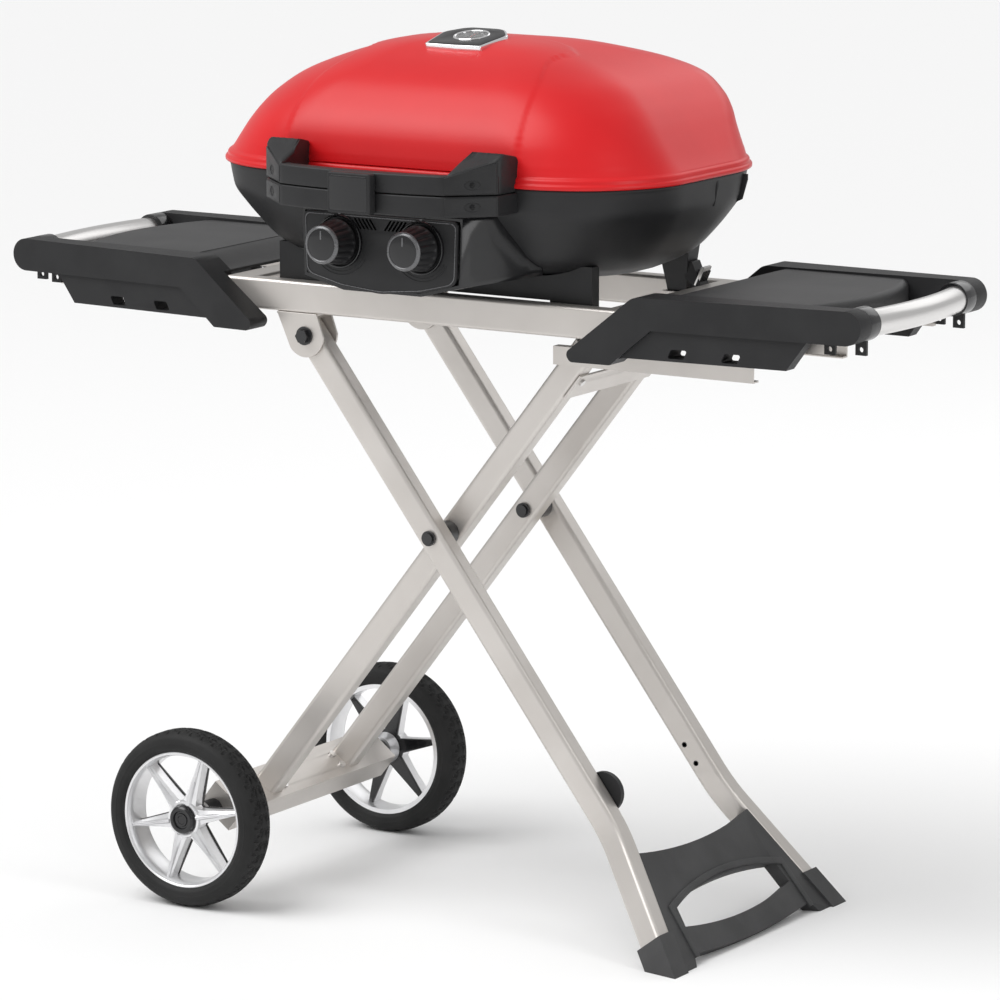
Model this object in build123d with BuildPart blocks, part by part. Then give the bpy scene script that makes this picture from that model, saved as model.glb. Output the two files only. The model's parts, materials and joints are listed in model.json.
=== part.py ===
from build123d import *
import os
from math import atan2, cos, degrees, hypot, radians, sin, sqrt, tan

os.makedirs("parts", exist_ok=True)

# ---------------------------------------------------------------- driving dimensions (mm)
# Everything is drawn about the cart's middle plane (y = 0, front towards -y). The finished
# pieces are moved by ORIGIN_SHIFT, so that the origin is under the middle of the whole grill.
ORIGIN_SHIFT = 27.0

# Wheels
WHEEL_R = 101.6
WHEEL_X = -267.5
TYRE_WIDTH = 42.4
RIM_R = 78.6
WHEEL_OUTER_Y = 229.0
AXLE_R = 6.0
RUNNING_GAP = 0.05

# Crossed legs
MID_X, MID_Z = 6.1, 438.1
PIVOT_X, PIVOT_Z = -155.7, 652.0
INNER_ANGLE = 51.9
LEG_FACE = 30.0
LEG_DEPTH = 24.0
LEG_WALL = 1.8
LEG_CORNER = 5.0
OUTER_Y = 119.8
INNER_Y = 80.0
BEND_T = 385.0
FLARE_ANGLE = 18.7
OUTER_END_T = 522.0
INNER_END_S = 407.0
PIVOT_BOLT_R = 5.0
MID_BOLT_R = 4.0

# Top frame
FRAME_X = 263.0
FRAME_Y = 136.0
FRAME_TOP = 712.3
FRAME_TALL = 35.0
RAIL_WIDE = 20.0
CROSS_WIDE = 35.0
FRAME_CORNER = 4.0
FRAME_WALL = 2.0

# Side shelves
SHELF_END_X = 531.2
SHELF_END_Z = 716.9
SHELF_END_R = 18.4
CHEEK_TOP = 735.3
CHEEK_LOW = 698.5
CHEEK_FACE_IN = (207.0, 170.0)
CHEEK_FACE_OUT = (549.6, 146.0)
CHEEK_INNER_Y = 122.0
SHELF_TOP = 731.5
HANDLE_TUBE_R = 14.5
HANDLE_BOW = 11.8

# Grill head
SEAM_Z = 843.0
SEAM_GAP = 0.3
CASTING_WALL = 3.5
FLANGE = (287.0, 188.0, 188.0, 132.0, 132.0)
FLANGE_TOP = 854.0
HINGE_Y, HINGE_Z = 197.0, 849.0
HINGE_PIN_R = 3.0
KNOB_X, KNOB_Z = 52.5, 776.0
PANEL_Y = -220.0
PANEL_THICK = 4.0

TILT_OUTER = degrees(atan2(PIVOT_Z - MID_Z, MID_X - PIVOT_X))
PIVOT_REACH = hypot(PIVOT_X - MID_X, PIVOT_Z - MID_Z)


# ---------------------------------------------------------------- shared shapes
def leg_plane(angle, side):
    """Plane of one pair of legs: x down the leg, y across the cart, z out of its upper side."""
    run, drop = cos(radians(angle)), sin(radians(angle))
    return Plane(origin=(MID_X, 0, MID_Z), x_dir=(side * run, 0, -drop), z_dir=(drop, 0, side * run))


OUTER_PLANE = leg_plane(TILT_OUTER, 1)
INNER_PLANE = leg_plane(INNER_ANGLE, -1)


def outline(plane, points, radius=0.0):
    """A closed outline with rounded corners as a face."""
    with BuildSketch(plane) as sketch:
        with BuildLine():
            FilletPolyline(*points, radius=radius, close=True)
        make_face()
    return sketch.sketch


def dish(z, half_x, front_y, rear_y, front_r, rear_r):
    """A horizontal section of the cook box or lid: a rectangle with large corner radii."""
    corners = [(half_x, -front_y), (half_x, rear_y), (-half_x, rear_y), (-half_x, -front_y)]
    return outline(Plane.XY.offset(z), corners, [front_r, rear_r, rear_r, front_r])


def shrunk(section, inset, drop):
    """The same section moved in by a wall thickness and down by drop."""
    z, half_x, front_y, rear_y, front_r, rear_r = section
    return (z - drop, half_x - inset, front_y - inset, rear_y - inset, front_r - inset, rear_r - inset)


def across(x, y, z):
    """A place whose local z axis runs across the cart, along y."""
    return Locations(Location((x, y, z), (90, 0, 0)))


def along(x, y, z):
    """A place whose local z axis runs along the cart, along x."""
    return Locations(Location((x, y, z), (0, 90, 0)))


def tube_section(plane, wide, tall, corner, wall):
    """A hollow rounded rectangle for a welded steel tube."""
    with BuildSketch(plane) as sketch:
        RectangleRounded(wide, tall, corner)
        RectangleRounded(wide - 2 * wall, tall - 2 * wall, corner - wall, mode=Mode.SUBTRACT)
    return sketch.sketch


def reflected(part, plane):
    """A handed copy of a part."""
    with BuildPart() as copy:
        mirror(part, about=plane)
    return copy.part


FRONT_REAR = Plane.XZ
LEFT_RIGHT = Plane.YZ
pieces = {}

# ---------------------------------------------------------------- top frame
RAIL_Y = FRAME_Y - RAIL_WIDE / 2
CROSS_X = FRAME_X - CROSS_WIDE / 2
FRAME_MID_Z = FRAME_TOP - FRAME_TALL / 2
FRAME_LOW = FRAME_TOP - FRAME_TALL
MITRE_OUT = (FRAME_X + 1, FRAME_Y + RAIL_WIDE / CROSS_WIDE)
MITRE_IN = (FRAME_X - CROSS_WIDE - 1, FRAME_Y - RAIL_WIDE - RAIL_WIDE / CROSS_WIDE)

with BuildPart() as front_rail:
    extrude(tube_section(Plane.YZ.offset(-FRAME_X).shift_origin((-FRAME_X, -RAIL_Y, FRAME_MID_Z)),
                         RAIL_WIDE, FRAME_TALL, FRAME_CORNER, FRAME_WALL), amount=2 * FRAME_X)
    for side in (-1, 1):
        wedge = [(side * MITRE_OUT[0], -MITRE_OUT[1]), (side * MITRE_IN[0], -MITRE_IN[1]),
                 (side * MITRE_OUT[0], -MITRE_IN[1])]
        extrude(outline(Plane.XY.offset(FRAME_LOW - 1), wedge), amount=FRAME_TALL + 2, mode=Mode.SUBTRACT)

with BuildPart() as right_cross_tube:
    extrude(tube_section(Plane.XZ.offset(-FRAME_Y).shift_origin((CROSS_X, FRAME_Y, FRAME_MID_Z)),
                         CROSS_WIDE, FRAME_TALL, FRAME_CORNER, FRAME_WALL), amount=2 * FRAME_Y)
    for side in (-1, 1):
        wedge = [(MITRE_OUT[0], side * MITRE_OUT[1]), (MITRE_IN[0], side * MITRE_IN[1]),
                 (MITRE_IN[0], side * MITRE_OUT[1])]
        extrude(outline(Plane.XY.offset(FRAME_LOW - 1), wedge), amount=FRAME_TALL + 2, mode=Mode.SUBTRACT)

# flat bars welded to the cross tube carry the side shelf
with BuildPart() as right_shelf_carrier:
    add(right_cross_tube.part)
    for side in (-1, 1):
        with Locations(((FRAME_X + 500) / 2, side * 118.0, 694.0)):
            Box(500 - FRAME_X, 7.6, 22)

pieces["front_rail"] = front_rail.part
pieces["rear_rail"] = reflected(front_rail.part, FRONT_REAR)
pieces["right_cross_tube"] = right_shelf_carrier.part
pieces["left_cross_tube"] = reflected(right_shelf_carrier.part, LEFT_RIGHT)

# U-shaped pivot brackets welded under the rails, one round each outer leg.
EAR_OUT, EAR_THICK, EAR_R, EAR_TOP_HALF = 135.3, 3.0, 24.5, 26.3
EAR_IN = 2 * OUTER_Y - EAR_OUT
with BuildPart() as pivot_brackets:
    for side in (-1, 1):
        for face_y in (EAR_OUT - EAR_THICK / 2, EAR_IN + EAR_THICK / 2):
            with BuildSketch(Plane.XZ.offset(side * face_y - EAR_THICK / 2)) as ear:
                with BuildLine():
                    Line((PIVOT_X - EAR_TOP_HALF - 11, FRAME_LOW), (PIVOT_X + EAR_TOP_HALF - 11, FRAME_LOW))
                    Line((PIVOT_X + EAR_TOP_HALF - 11, FRAME_LOW), (PIVOT_X + EAR_R, PIVOT_Z))
                    ThreePointArc((PIVOT_X + EAR_R, PIVOT_Z), (PIVOT_X, PIVOT_Z - EAR_R),
                                  (PIVOT_X - EAR_R * 0.8, PIVOT_Z - EAR_R * 0.6))
                    Line((PIVOT_X - EAR_R * 0.8, PIVOT_Z - EAR_R * 0.6),
                         (PIVOT_X - EAR_TOP_HALF - 11, FRAME_LOW))
                make_face()
            extrude(amount=EAR_THICK)
        with Locations((PIVOT_X - 11, side * OUTER_Y, FRAME_LOW - 1.25)):
            Box(2 * EAR_TOP_HALF, 2 * (EAR_OUT - OUTER_Y), 2.5)
    with across(PIVOT_X, 0, PIVOT_Z):
        Cylinder(PIVOT_BOLT_R, 2 * EAR_OUT + 10, mode=Mode.SUBTRACT)

with BuildPart() as pivot_bolts:
    for side in (-1, 1):
        with across(PIVOT_X, side * OUTER_Y, PIVOT_Z):
            Cylinder(PIVOT_BOLT_R, 2 * (EAR_OUT - OUTER_Y))
        with across(PIVOT_X, side * (EAR_OUT + 0.9), PIVOT_Z):
            Cylinder(10.5, 1.8)
        with BuildSketch(Plane.XZ.offset(-side * (EAR_OUT + 1.8))):
            with Locations((PIVOT_X, PIVOT_Z)):
                RegularPolygon(8.0, 6)
        extrude(amount=-side * 6.0)
        with BuildSketch(Plane.XZ.offset(-side * EAR_IN)):
            with Locations((PIVOT_X, PIVOT_Z)):
                RegularPolygon(8.0, 6)
        extrude(amount=side * 5.0)
pieces["pivot_bolts"] = pivot_bolts.part

# Channels under the frame in which the inner legs' top rollers run while the cart folds.
GUIDE_X0, GUIDE_X1 = 150.0, 400.0
GUIDE_OUT, GUIDE_IN = 106.0, 94.0
ROLLER_R, ROLLER_SLOT = 7.7, 8.3
with BuildPart() as guide_channels:
    for side in (-1, 1):
        middle = side * (GUIDE_OUT + GUIDE_IN) / 2
        for level in (PIVOT_Z + ROLLER_SLOT + 1, PIVOT_Z - ROLLER_SLOT - 1):
            with Locations(((GUIDE_X0 + GUIDE_X1) / 2, middle, level)):
                Box(GUIDE_X1 - GUIDE_X0, GUIDE_OUT - GUIDE_IN, 2)
        with Locations(((GUIDE_X0 + GUIDE_X1) / 2, side * (GUIDE_OUT - 1), PIVOT_Z)):
            Box(GUIDE_X1 - GUIDE_X0, 2, 2 * ROLLER_SLOT + 4)
        hanger_low = PIVOT_Z + ROLLER_SLOT + 2
        with Locations((CROSS_X, middle, (hanger_low + FRAME_LOW) / 2)):
            Box(CROSS_WIDE - 10, GUIDE_OUT - GUIDE_IN, FRAME_LOW - hanger_low)
pieces["guide_channels"] = guide_channels.part

# Small angle ledges inside the frame on which the grill head stands.
LEDGE_TOP = 700.0
LEDGE_X = 188.0
with BuildPart() as frame_brackets:
    add(pivot_brackets.part)
    for side in (-1, 1):
        for place in (-LEDGE_X, LEDGE_X):
            with Locations((place, side * (FRAME_Y - RAIL_WIDE - 11), LEDGE_TOP - 1.5)):
                Box(34, 22, 3)
            with Locations((place, side * (FRAME_Y - RAIL_WIDE - 1.5), LEDGE_TOP - 9)):
                Box(34, 3, 18)
pieces["frame_brackets"] = frame_brackets.part

# ---------------------------------------------------------------- side shelves
CHEEK_EDGE = 176.0
band = [(SHELF_END_X, CHEEK_LOW), (SHELF_END_X, CHEEK_TOP), (284.0, 733.0), (203.0, 667.2), (209.5, 657.8),
        (257.1, 657.8), (305.5, 698.5)]
band_radii = [0, 0, 16, 7, 6, 3, 5]
skirt = [(262.0, 664.0), (271.4, 666.4), (462.4, 666.6), (487.0, 700.0), (305.5, 700.0), (300.0, 697.0)]
HOOK_HOLES = (335.0, 398.0)
face_slope = (CHEEK_FACE_IN[1] - CHEEK_FACE_OUT[1]) / (CHEEK_FACE_OUT[0] - CHEEK_FACE_IN[0])


def face_y(x, inset=0.0):
    """Distance of a cheek's outer face from the middle plane."""
    return CHEEK_FACE_IN[1] - face_slope * (x - CHEEK_FACE_IN[0]) - inset


def beyond_face(inset):
    """Everything outside the slanted outer face, for cutting."""
    near, far = CHEEK_FACE_IN[0] - 20, CHEEK_FACE_OUT[0] + 20
    points = [(near, -face_y(near, inset)), (far, -face_y(far, inset)), (far, -CHEEK_EDGE - 10),
              (near, -CHEEK_EDGE - 10)]
    return outline(Plane.XY.offset(640), points)


# the skirt stands a little behind the band's face
with BuildPart() as apron:
    extrude(outline(Plane.XZ.offset(130), skirt), amount=CHEEK_EDGE - 130)
    extrude(beyond_face(4.0), amount=120, mode=Mode.SUBTRACT)
    for place in HOOK_HOLES:
        hole = [(place - 12, 669.5), (place + 7, 669.5), (place + 12, 679.5), (place - 7, 679.5)]
        extrude(outline(Plane.XZ.offset(100), hole, 2.0), amount=100, mode=Mode.SUBTRACT)

with BuildPart() as cheek:
    extrude(outline(Plane.XZ.offset(CHEEK_INNER_Y), band, band_radii), amount=CHEEK_EDGE - CHEEK_INNER_Y)
    with across(SHELF_END_X, -(CHEEK_EDGE + 99) / 2, SHELF_END_Z):
        Cylinder(SHELF_END_R, CHEEK_EDGE - 99)
    extrude(beyond_face(0.0), amount=120, mode=Mode.SUBTRACT)
    add(apron.part)
    # tool hooks: small eyes under the end of the shelf
    for place, reach in ((SHELF_END_X + 2, 112.0), (503.0, 125.0)):
        with Locations((place, -reach, 693.0)):
            Box(13, 4, 17)
        with across(place, -reach, 690.5):
            Cylinder(3.0, 6, mode=Mode.SUBTRACT)
    # pocket for the end of the frame
    with Locations(((FRAME_X + 190) / 2, -FRAME_Y / 2, 700)):
        Box(FRAME_X - 190 + 0.6, FRAME_Y + 0.0, 100, mode=Mode.SUBTRACT)

pieces["shelf_cheek_right_front"] = cheek.part
pieces["shelf_cheek_right_rear"] = reflected(cheek.part, FRONT_REAR)
pieces["shelf_cheek_left_front"] = reflected(cheek.part, LEFT_RIGHT)
pieces["shelf_cheek_left_rear"] = reflected(pieces["shelf_cheek_right_rear"], LEFT_RIGHT)

# Shelf panels: an inverted tray with a bowed outer edge and a rolled inner edge.
PANEL_HALF = CHEEK_INNER_Y - 0.2
PANEL_ROLL_X, PANEL_IN_X = 322.0, 266.0
PANEL_END_X, PANEL_BOW = 466.0, 26.0
PANEL_WALL = 3.5


def shelf_plan(z, inset):
    """Plan of the flat part of a shelf panel."""
    with BuildSketch(Plane.XY.offset(z)) as plan:
        with BuildLine():
            end, half = PANEL_END_X - inset, PANEL_HALF - inset
            Polyline((end, half), (PANEL_ROLL_X - 8, half), (PANEL_ROLL_X - 8, -half), (end, -half))
            ThreePointArc((end, -half), (end + PANEL_BOW, 0), (end, half))
        make_face()
    return plan.sketch


with BuildPart() as shelf_panel:
    extrude(shelf_plan(706, 0), amount=SHELF_TOP - 706)
    fillet(shelf_panel.edges().filter_by(GeomType.CIRCLE).sort_by(Axis.Z)[-1], 8)
    extrude(shelf_plan(700, PANEL_WALL), amount=SHELF_TOP - PANEL_WALL - 700, mode=Mode.SUBTRACT)
    with BuildSketch(Plane.XZ.offset(-PANEL_HALF)):
        with BuildLine():
            Line((PANEL_ROLL_X, SHELF_TOP), (PANEL_ROLL_X, SHELF_TOP - PANEL_WALL))
            Spline((PANEL_ROLL_X, SHELF_TOP - PANEL_WALL), (288, 719.5), (PANEL_IN_X, 713.2),
                   tangents=((-1, 0), (-1, -0.12)))
            Line((PANEL_IN_X, 713.2), (PANEL_IN_X, 716.2))
            Spline((PANEL_IN_X, 716.2), (289, 723.2), (PANEL_ROLL_X, SHELF_TOP), tangents=((1, 0.12), (1, 0)))
        make_face()
    extrude(amount=2 * PANEL_HALF)
pieces["shelf_panel_right"] = shelf_panel.part
pieces["shelf_panel_left"] = reflected(shelf_panel.part, LEFT_RIGHT)

with BuildPart() as handle_tube:
    with BuildLine() as bow:
        ThreePointArc((SHELF_END_X, -112, SHELF_END_Z), (SHELF_END_X + HANDLE_BOW, 0, SHELF_END_Z),
                      (SHELF_END_X, 112, SHELF_END_Z))
    with BuildSketch(Plane(origin=bow.line @ 0, z_dir=bow.line % 0)):
        Circle(HANDLE_TUBE_R)
        Circle(HANDLE_TUBE_R - 1.5, mode=Mode.SUBTRACT)
    sweep()
pieces["shelf_handle_right"] = handle_tube.part
pieces["shelf_handle_left"] = reflected(handle_tube.part, LEFT_RIGHT)

# blind sockets for the handle tube in the cheeks
with BuildPart() as socket:
    with BuildSketch(Plane(origin=bow.line @ 0, z_dir=bow.line % 0)):
        Circle(HANDLE_TUBE_R)
    sweep(path=bow.line)
for name in ("shelf_cheek_right_front", "shelf_cheek_right_rear"):
    pieces[name] = pieces[name] - socket.part
for name in ("shelf_cheek_left_front", "shelf_cheek_left_rear"):
    pieces[name] = pieces[name] - reflected(socket.part, LEFT_RIGHT)

# ---------------------------------------------------------------- outer legs
TOP_END_T = -PIVOT_REACH - 12.0
FLARE_END_Y = OUTER_Y + (OUTER_END_T - BEND_T) * tan(radians(FLARE_ANGLE))
FLOOR_T = 575.0


def outer_leg(section_wall, end_t):
    """One outer leg: straight to the bend, then flared outwards; a wall of 0 gives its envelope."""
    end_y = OUTER_Y + (end_t - BEND_T) * tan(radians(FLARE_ANGLE))
    with BuildPart() as leg:
        with BuildLine(OUTER_PLANE) as path:
            FilletPolyline((TOP_END_T, -OUTER_Y), (BEND_T, -OUTER_Y), (end_t, -end_y), radius=150)
        start = Plane(origin=path.line @ 0, x_dir=(0, 1, 0), z_dir=path.line % 0)
        with BuildSketch(start):
            RectangleRounded(LEG_DEPTH, LEG_FACE, LEG_CORNER)
            if section_wall > 0:
                RectangleRounded(LEG_DEPTH - 2 * section_wall, LEG_FACE - 2 * section_wall,
                                 LEG_CORNER - section_wall, mode=Mode.SUBTRACT)
        sweep(path=path.line)
    return leg.part


with BuildPart() as outer_leg_front:
    add(outer_leg(LEG_WALL, OUTER_END_T))
    with across(PIVOT_X, -OUTER_Y, PIVOT_Z):
        Cylinder(PIVOT_BOLT_R + RUNNING_GAP, LEG_DEPTH + 4, mode=Mode.SUBTRACT)
    with across(MID_X, -OUTER_Y, MID_Z):
        Cylinder(MID_BOLT_R, LEG_DEPTH + 4, mode=Mode.SUBTRACT)
pieces["outer_leg_front"] = outer_leg_front.part
pieces["outer_leg_rear"] = reflected(outer_leg_front.part, FRONT_REAR)

# Moulded foot plate with a carrying slot and a socket for each leg's end.
PLATE_BACK, PLATE_FACE = -1.0, 14.0
SLOT_HALF = 117.0
CAP_WALL = 2.2


def leg_inner_y(t):
    """Distance of the flared leg's middle line from the cart's middle plane."""
    return OUTER_Y + (t - BEND_T) * tan(radians(FLARE_ANGLE))


cap_envelope = outer_leg(0.0, FLOOR_T)
with BuildPart() as foot_plate:
    with BuildSketch(OUTER_PLANE.offset(PLATE_BACK)):
        with BuildLine():
            Polyline((419, 122), (452, leg_inner_y(452)), (FLOOR_T, leg_inner_y(FLOOR_T)), (FLOOR_T, 150),
                     (545, 130))
            ThreePointArc((545, 130), (552, 0), (545, -130))
            Polyline((545, -130), (FLOOR_T, -150), (FLOOR_T, -leg_inner_y(FLOOR_T)),
                     (452, -leg_inner_y(452)), (419, -122))
            ThreePointArc((419, -122), (430, 0), (419, 122))
        make_face()
        with BuildLine():
            Line((486, SLOT_HALF - 6), (514, SLOT_HALF))
            ThreePointArc((514, SLOT_HALF), (525, 0), (514, -SLOT_HALF))
            Line((514, -SLOT_HALF), (486, -SLOT_HALF + 6))
            ThreePointArc((486, -SLOT_HALF + 6), (477, 0), (486, SLOT_HALF - 6))
        make_face(mode=Mode.SUBTRACT)
    extrude(amount=PLATE_FACE - PLATE_BACK)
    for side in (-1, 1):
        start_t, end_t = 512.0, FLOOR_T
        with BuildSketch(OUTER_PLANE.offset(-LEG_FACE / 2 - CAP_WALL)):
            half = LEG_DEPTH / 2 / cos(radians(FLARE_ANGLE)) + CAP_WALL
            with BuildLine():
                Polyline((start_t, side * (leg_inner_y(start_t) - half)),
                         (start_t, side * (leg_inner_y(start_t) + half)),
                         (end_t, side * (leg_inner_y(end_t) + half)),
                         (end_t, side * (leg_inner_y(end_t) - half)), close=True)
            make_face()
        extrude(amount=LEG_FACE + 2 * CAP_WALL)
    split(bisect_by=Plane.XY, keep=Keep.TOP)
for leg in (outer_leg(0.0, OUTER_END_T), reflected(outer_leg(0.0, OUTER_END_T), FRONT_REAR)):
    foot_plate.part = foot_plate.part - leg
pieces["foot_plate"] = foot_plate.part

# Rubber fold bumper on the inner side of the front leg, held by two screws.
BUMPER_T, BUMPER_R = 340.0, 23.5
bumper_plane = Plane(origin=OUTER_PLANE.from_local_coords((BUMPER_T, -OUTER_Y + LEG_DEPTH / 2, 6)),
                     x_dir=OUTER_PLANE.x_dir, z_dir=(0, 1, 0))
with BuildPart() as fold_bumper:
    with BuildSketch(bumper_plane):
        Circle(BUMPER_R)
    extrude(amount=9)
    fillet(fold_bumper.edges().sort_by(Axis.Y)[-1], 3)
    with BuildSketch(bumper_plane):
        with Locations((-12.5, 0), (12.5, 0)):
            Circle(2.4)
    extrude(amount=10, mode=Mode.SUBTRACT)
with BuildPart() as bumper_screws:
    with BuildSketch(bumper_plane):
        with Locations((-12.5, 0), (12.5, 0)):
            Circle(2.2)
    extrude(amount=9.1)
    with BuildSketch(bumper_plane.offset(9.1)):
        with Locations((-12.5, 0), (12.5, 0)):
            Circle(4)
    extrude(amount=2.2)
pieces["fold_bumper"] = Compound(fold_bumper.part.solids() + bumper_screws.part.solids())

# Middle pivot: a domed bolt and a spacer on each side.
SPACER_OUT = OUTER_Y - LEG_DEPTH / 2
SPACER_IN = INNER_Y + LEG_DEPTH / 2 + 0.4
BOLT_OUT = OUTER_Y + LEG_DEPTH / 2
BOLT_IN = INNER_Y - LEG_DEPTH / 2 - 0.4
with BuildPart() as mid_pivot_bolts:
    for side in (-1, 1):
        with across(MID_X, side * (BOLT_OUT + BOLT_IN) / 2, MID_Z):
            Cylinder(MID_BOLT_R, BOLT_OUT - BOLT_IN)
        for face, way in ((BOLT_OUT, 1), (BOLT_IN, -1)):
            with across(MID_X, side * (face + way * 1.5), MID_Z):
                Cylinder(8.5, 3)
            with across(MID_X, side * (face + way * 4.2), MID_Z):
                Cylinder(6.5, 2.4)

with BuildPart() as mid_spacers:
    for side in (-1, 1):
        with across(MID_X, side * (SPACER_OUT + SPACER_IN) / 2, MID_Z):
            Cylinder(14, SPACER_OUT - SPACER_IN)
            Cylinder(MID_BOLT_R + 0.2, SPACER_OUT - SPACER_IN, mode=Mode.SUBTRACT)
pieces["mid_pivot_bolts"] = Compound(mid_pivot_bolts.part.solids() + mid_spacers.part.solids())

# ---------------------------------------------------------------- inner legs
GUIDE_REACH = (PIVOT_Z - MID_Z) / sin(radians(INNER_ANGLE))
INNER_TOP_S = -GUIDE_REACH - 11.0
inner_start = INNER_PLANE.from_local_coords((INNER_TOP_S, -INNER_Y, 0))
guide_at = INNER_PLANE.from_local_coords((-GUIDE_REACH, 0, 0))
with BuildPart() as inner_leg_front:
    extrude(tube_section(Plane(origin=inner_start, x_dir=(0, 1, 0), z_dir=INNER_PLANE.x_dir), LEG_DEPTH,
                         LEG_FACE, LEG_CORNER, LEG_WALL), amount=INNER_END_S - INNER_TOP_S)
    with across(MID_X, -INNER_Y, MID_Z):
        Cylinder(MID_BOLT_R + RUNNING_GAP, LEG_DEPTH + 4, mode=Mode.SUBTRACT)
    with across(guide_at.X, -INNER_Y, guide_at.Z):
        Cylinder(4, LEG_DEPTH + 4, mode=Mode.SUBTRACT)
pieces["inner_leg_front"] = inner_leg_front.part
pieces["inner_leg_rear"] = reflected(inner_leg_front.part, FRONT_REAR)

# A brace plate joins the inner legs near the top, on their lower side.
with BuildPart() as top_brace:
    with BuildSketch(INNER_PLANE.offset(LEG_FACE / 2)):
        with Locations((-238, 0)):
            Rectangle(34, 2 * (INNER_Y + LEG_DEPTH / 2))
    extrude(amount=2.5)
    with BuildSketch(INNER_PLANE.offset(LEG_FACE / 2 - 12)):
        with Locations((-223.2, 0)):
            Rectangle(2.5, 2 * (INNER_Y - LEG_DEPTH / 2))
    extrude(amount=12)
    with BuildSketch(INNER_PLANE.offset(LEG_FACE / 2)):
        with Locations((-245, -INNER_Y), (-245, INNER_Y)):
            Circle(2.5)
    extrude(amount=2.5, mode=Mode.SUBTRACT)
pieces["top_brace"] = top_brace.part

with BuildPart() as guide_rollers:
    for side in (-1, 1):
        with across(guide_at.X, side * (INNER_Y - LEG_DEPTH / 2 + 103.0) / 2, guide_at.Z):
            Cylinder(4, 103.0 - INNER_Y + LEG_DEPTH / 2)
        with across(guide_at.X, side * 98.0, guide_at.Z):
            Cylinder(ROLLER_R, 10)
pieces["guide_rollers"] = guide_rollers.part

# Open channel across the lower ends of the inner legs, which carries the axle.
CHANNEL_S, CHANNEL_WEB, CHANNEL_DEEP = INNER_END_S, 3.0, 33.0
CHANNEL_N = (-26.0, 22.0)
CHANNEL_HALF = 160.0
with BuildPart() as axle_channel:
    middle_n = sum(CHANNEL_N) / 2
    with BuildSketch(INNER_PLANE.offset(CHANNEL_N[0])):
        with Locations((CHANNEL_S + CHANNEL_DEEP / 2, 0)):
            Rectangle(CHANNEL_DEEP, 2 * CHANNEL_HALF)
    extrude(amount=CHANNEL_N[1] - CHANNEL_N[0])
    with BuildSketch(INNER_PLANE.offset(CHANNEL_N[0] + CHANNEL_WEB)):
        with Locations((CHANNEL_S + CHANNEL_DEEP / 2 + CHANNEL_WEB, 0)):
            Rectangle(CHANNEL_DEEP, 2 * (CHANNEL_HALF - CHANNEL_WEB))
    extrude(amount=CHANNEL_N[1] - CHANNEL_N[0] - 2 * CHANNEL_WEB, mode=Mode.SUBTRACT)
    with across(WHEEL_X, 0, WHEEL_R):
        Cylinder(AXLE_R, 2 * CHANNEL_HALF + 10, mode=Mode.SUBTRACT)
    with BuildSketch(Plane(origin=INNER_PLANE.from_local_coords((CHANNEL_S, 0, 0)), x_dir=(0, 1, 0),
                           z_dir=INNER_PLANE.x_dir)):
        with Locations((-60, -8.5), (-60, 8.5), (60, -8.5), (60, 8.5)):
            Circle(2.5)
    extrude(amount=CHANNEL_WEB, mode=Mode.SUBTRACT)
pieces["axle_channel"] = axle_channel.part

with BuildPart() as leg_screws:
    screw_plane = Plane(origin=INNER_PLANE.from_local_coords((CHANNEL_S, 0, 0)), x_dir=(0, 1, 0),
                        z_dir=INNER_PLANE.x_dir)
    with BuildSketch(screw_plane):
        with Locations((-60, -8.5), (-60, 8.5), (60, -8.5), (60, 8.5)):
            Circle(2.5)
    extrude(amount=CHANNEL_WEB + 4)
    with BuildSketch(screw_plane):
        with Locations((-60, -8.5), (-60, 8.5), (60, -8.5), (60, 8.5)):
            Circle(4.2)
    extrude(amount=-2.4)
    with BuildSketch(INNER_PLANE.offset(LEG_FACE / 2 - LEG_WALL)):
        with Locations((-245, -INNER_Y), (-245, INNER_Y)):
            Circle(2.5)
    extrude(amount=LEG_WALL + 2.5)
    with BuildSketch(INNER_PLANE.offset(LEG_FACE / 2 + 2.5)):
        with Locations((-245, -INNER_Y), (-245, INNER_Y)):
            Circle(4.2)
    extrude(amount=2.4)
pieces["leg_screws"] = leg_screws.part
for name in ("inner_leg_front", "inner_leg_rear"):
    pieces[name] = pieces[name] - leg_screws.part

AXLE_END = 219.5
with BuildPart() as axle:
    with across(WHEEL_X, 0, WHEEL_R):
        Cylinder(AXLE_R, 2 * AXLE_END)
pieces["axle"] = axle.part

# sleeves between the channel and the wheels, and the press nuts that keep the wheels on
SLEEVE_END = 186.6
with BuildPart() as axle_collars:
    for side in (-1, 1):
        with across(WHEEL_X, side * (CHANNEL_HALF + SLEEVE_END) / 2, WHEEL_R):
            Cylinder(12, SLEEVE_END - CHANNEL_HALF)
        with across(WHEEL_X, side * 217.6, WHEEL_R):
            Cylinder(9.5, 2.0)
    with across(WHEEL_X, 0, WHEEL_R):
        Cylinder(AXLE_R, 500, mode=Mode.SUBTRACT)
pieces["axle_collars"] = axle_collars.part

# ---------------------------------------------------------------- wheels
HUB_IN, HUB_OUT, HUB_FLOOR = 187.2, 221.0, 216.0
RIM_IN, RIM_OUT = 190.0, 225.5
TYRE_MID = WHEEL_OUTER_Y - TYRE_WIDTH / 2
SPOKES = 6


def wheel_profile(points, radii=0.0):
    """A turned profile given as (radius, distance from the middle plane), for the front wheel."""
    plane = Plane(origin=(WHEEL_X, 0, WHEEL_R), x_dir=(1, 0, 0), z_dir=(0, 0, 1))
    return outline(plane, [(radius, -place) for radius, place in points], radii)


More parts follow.
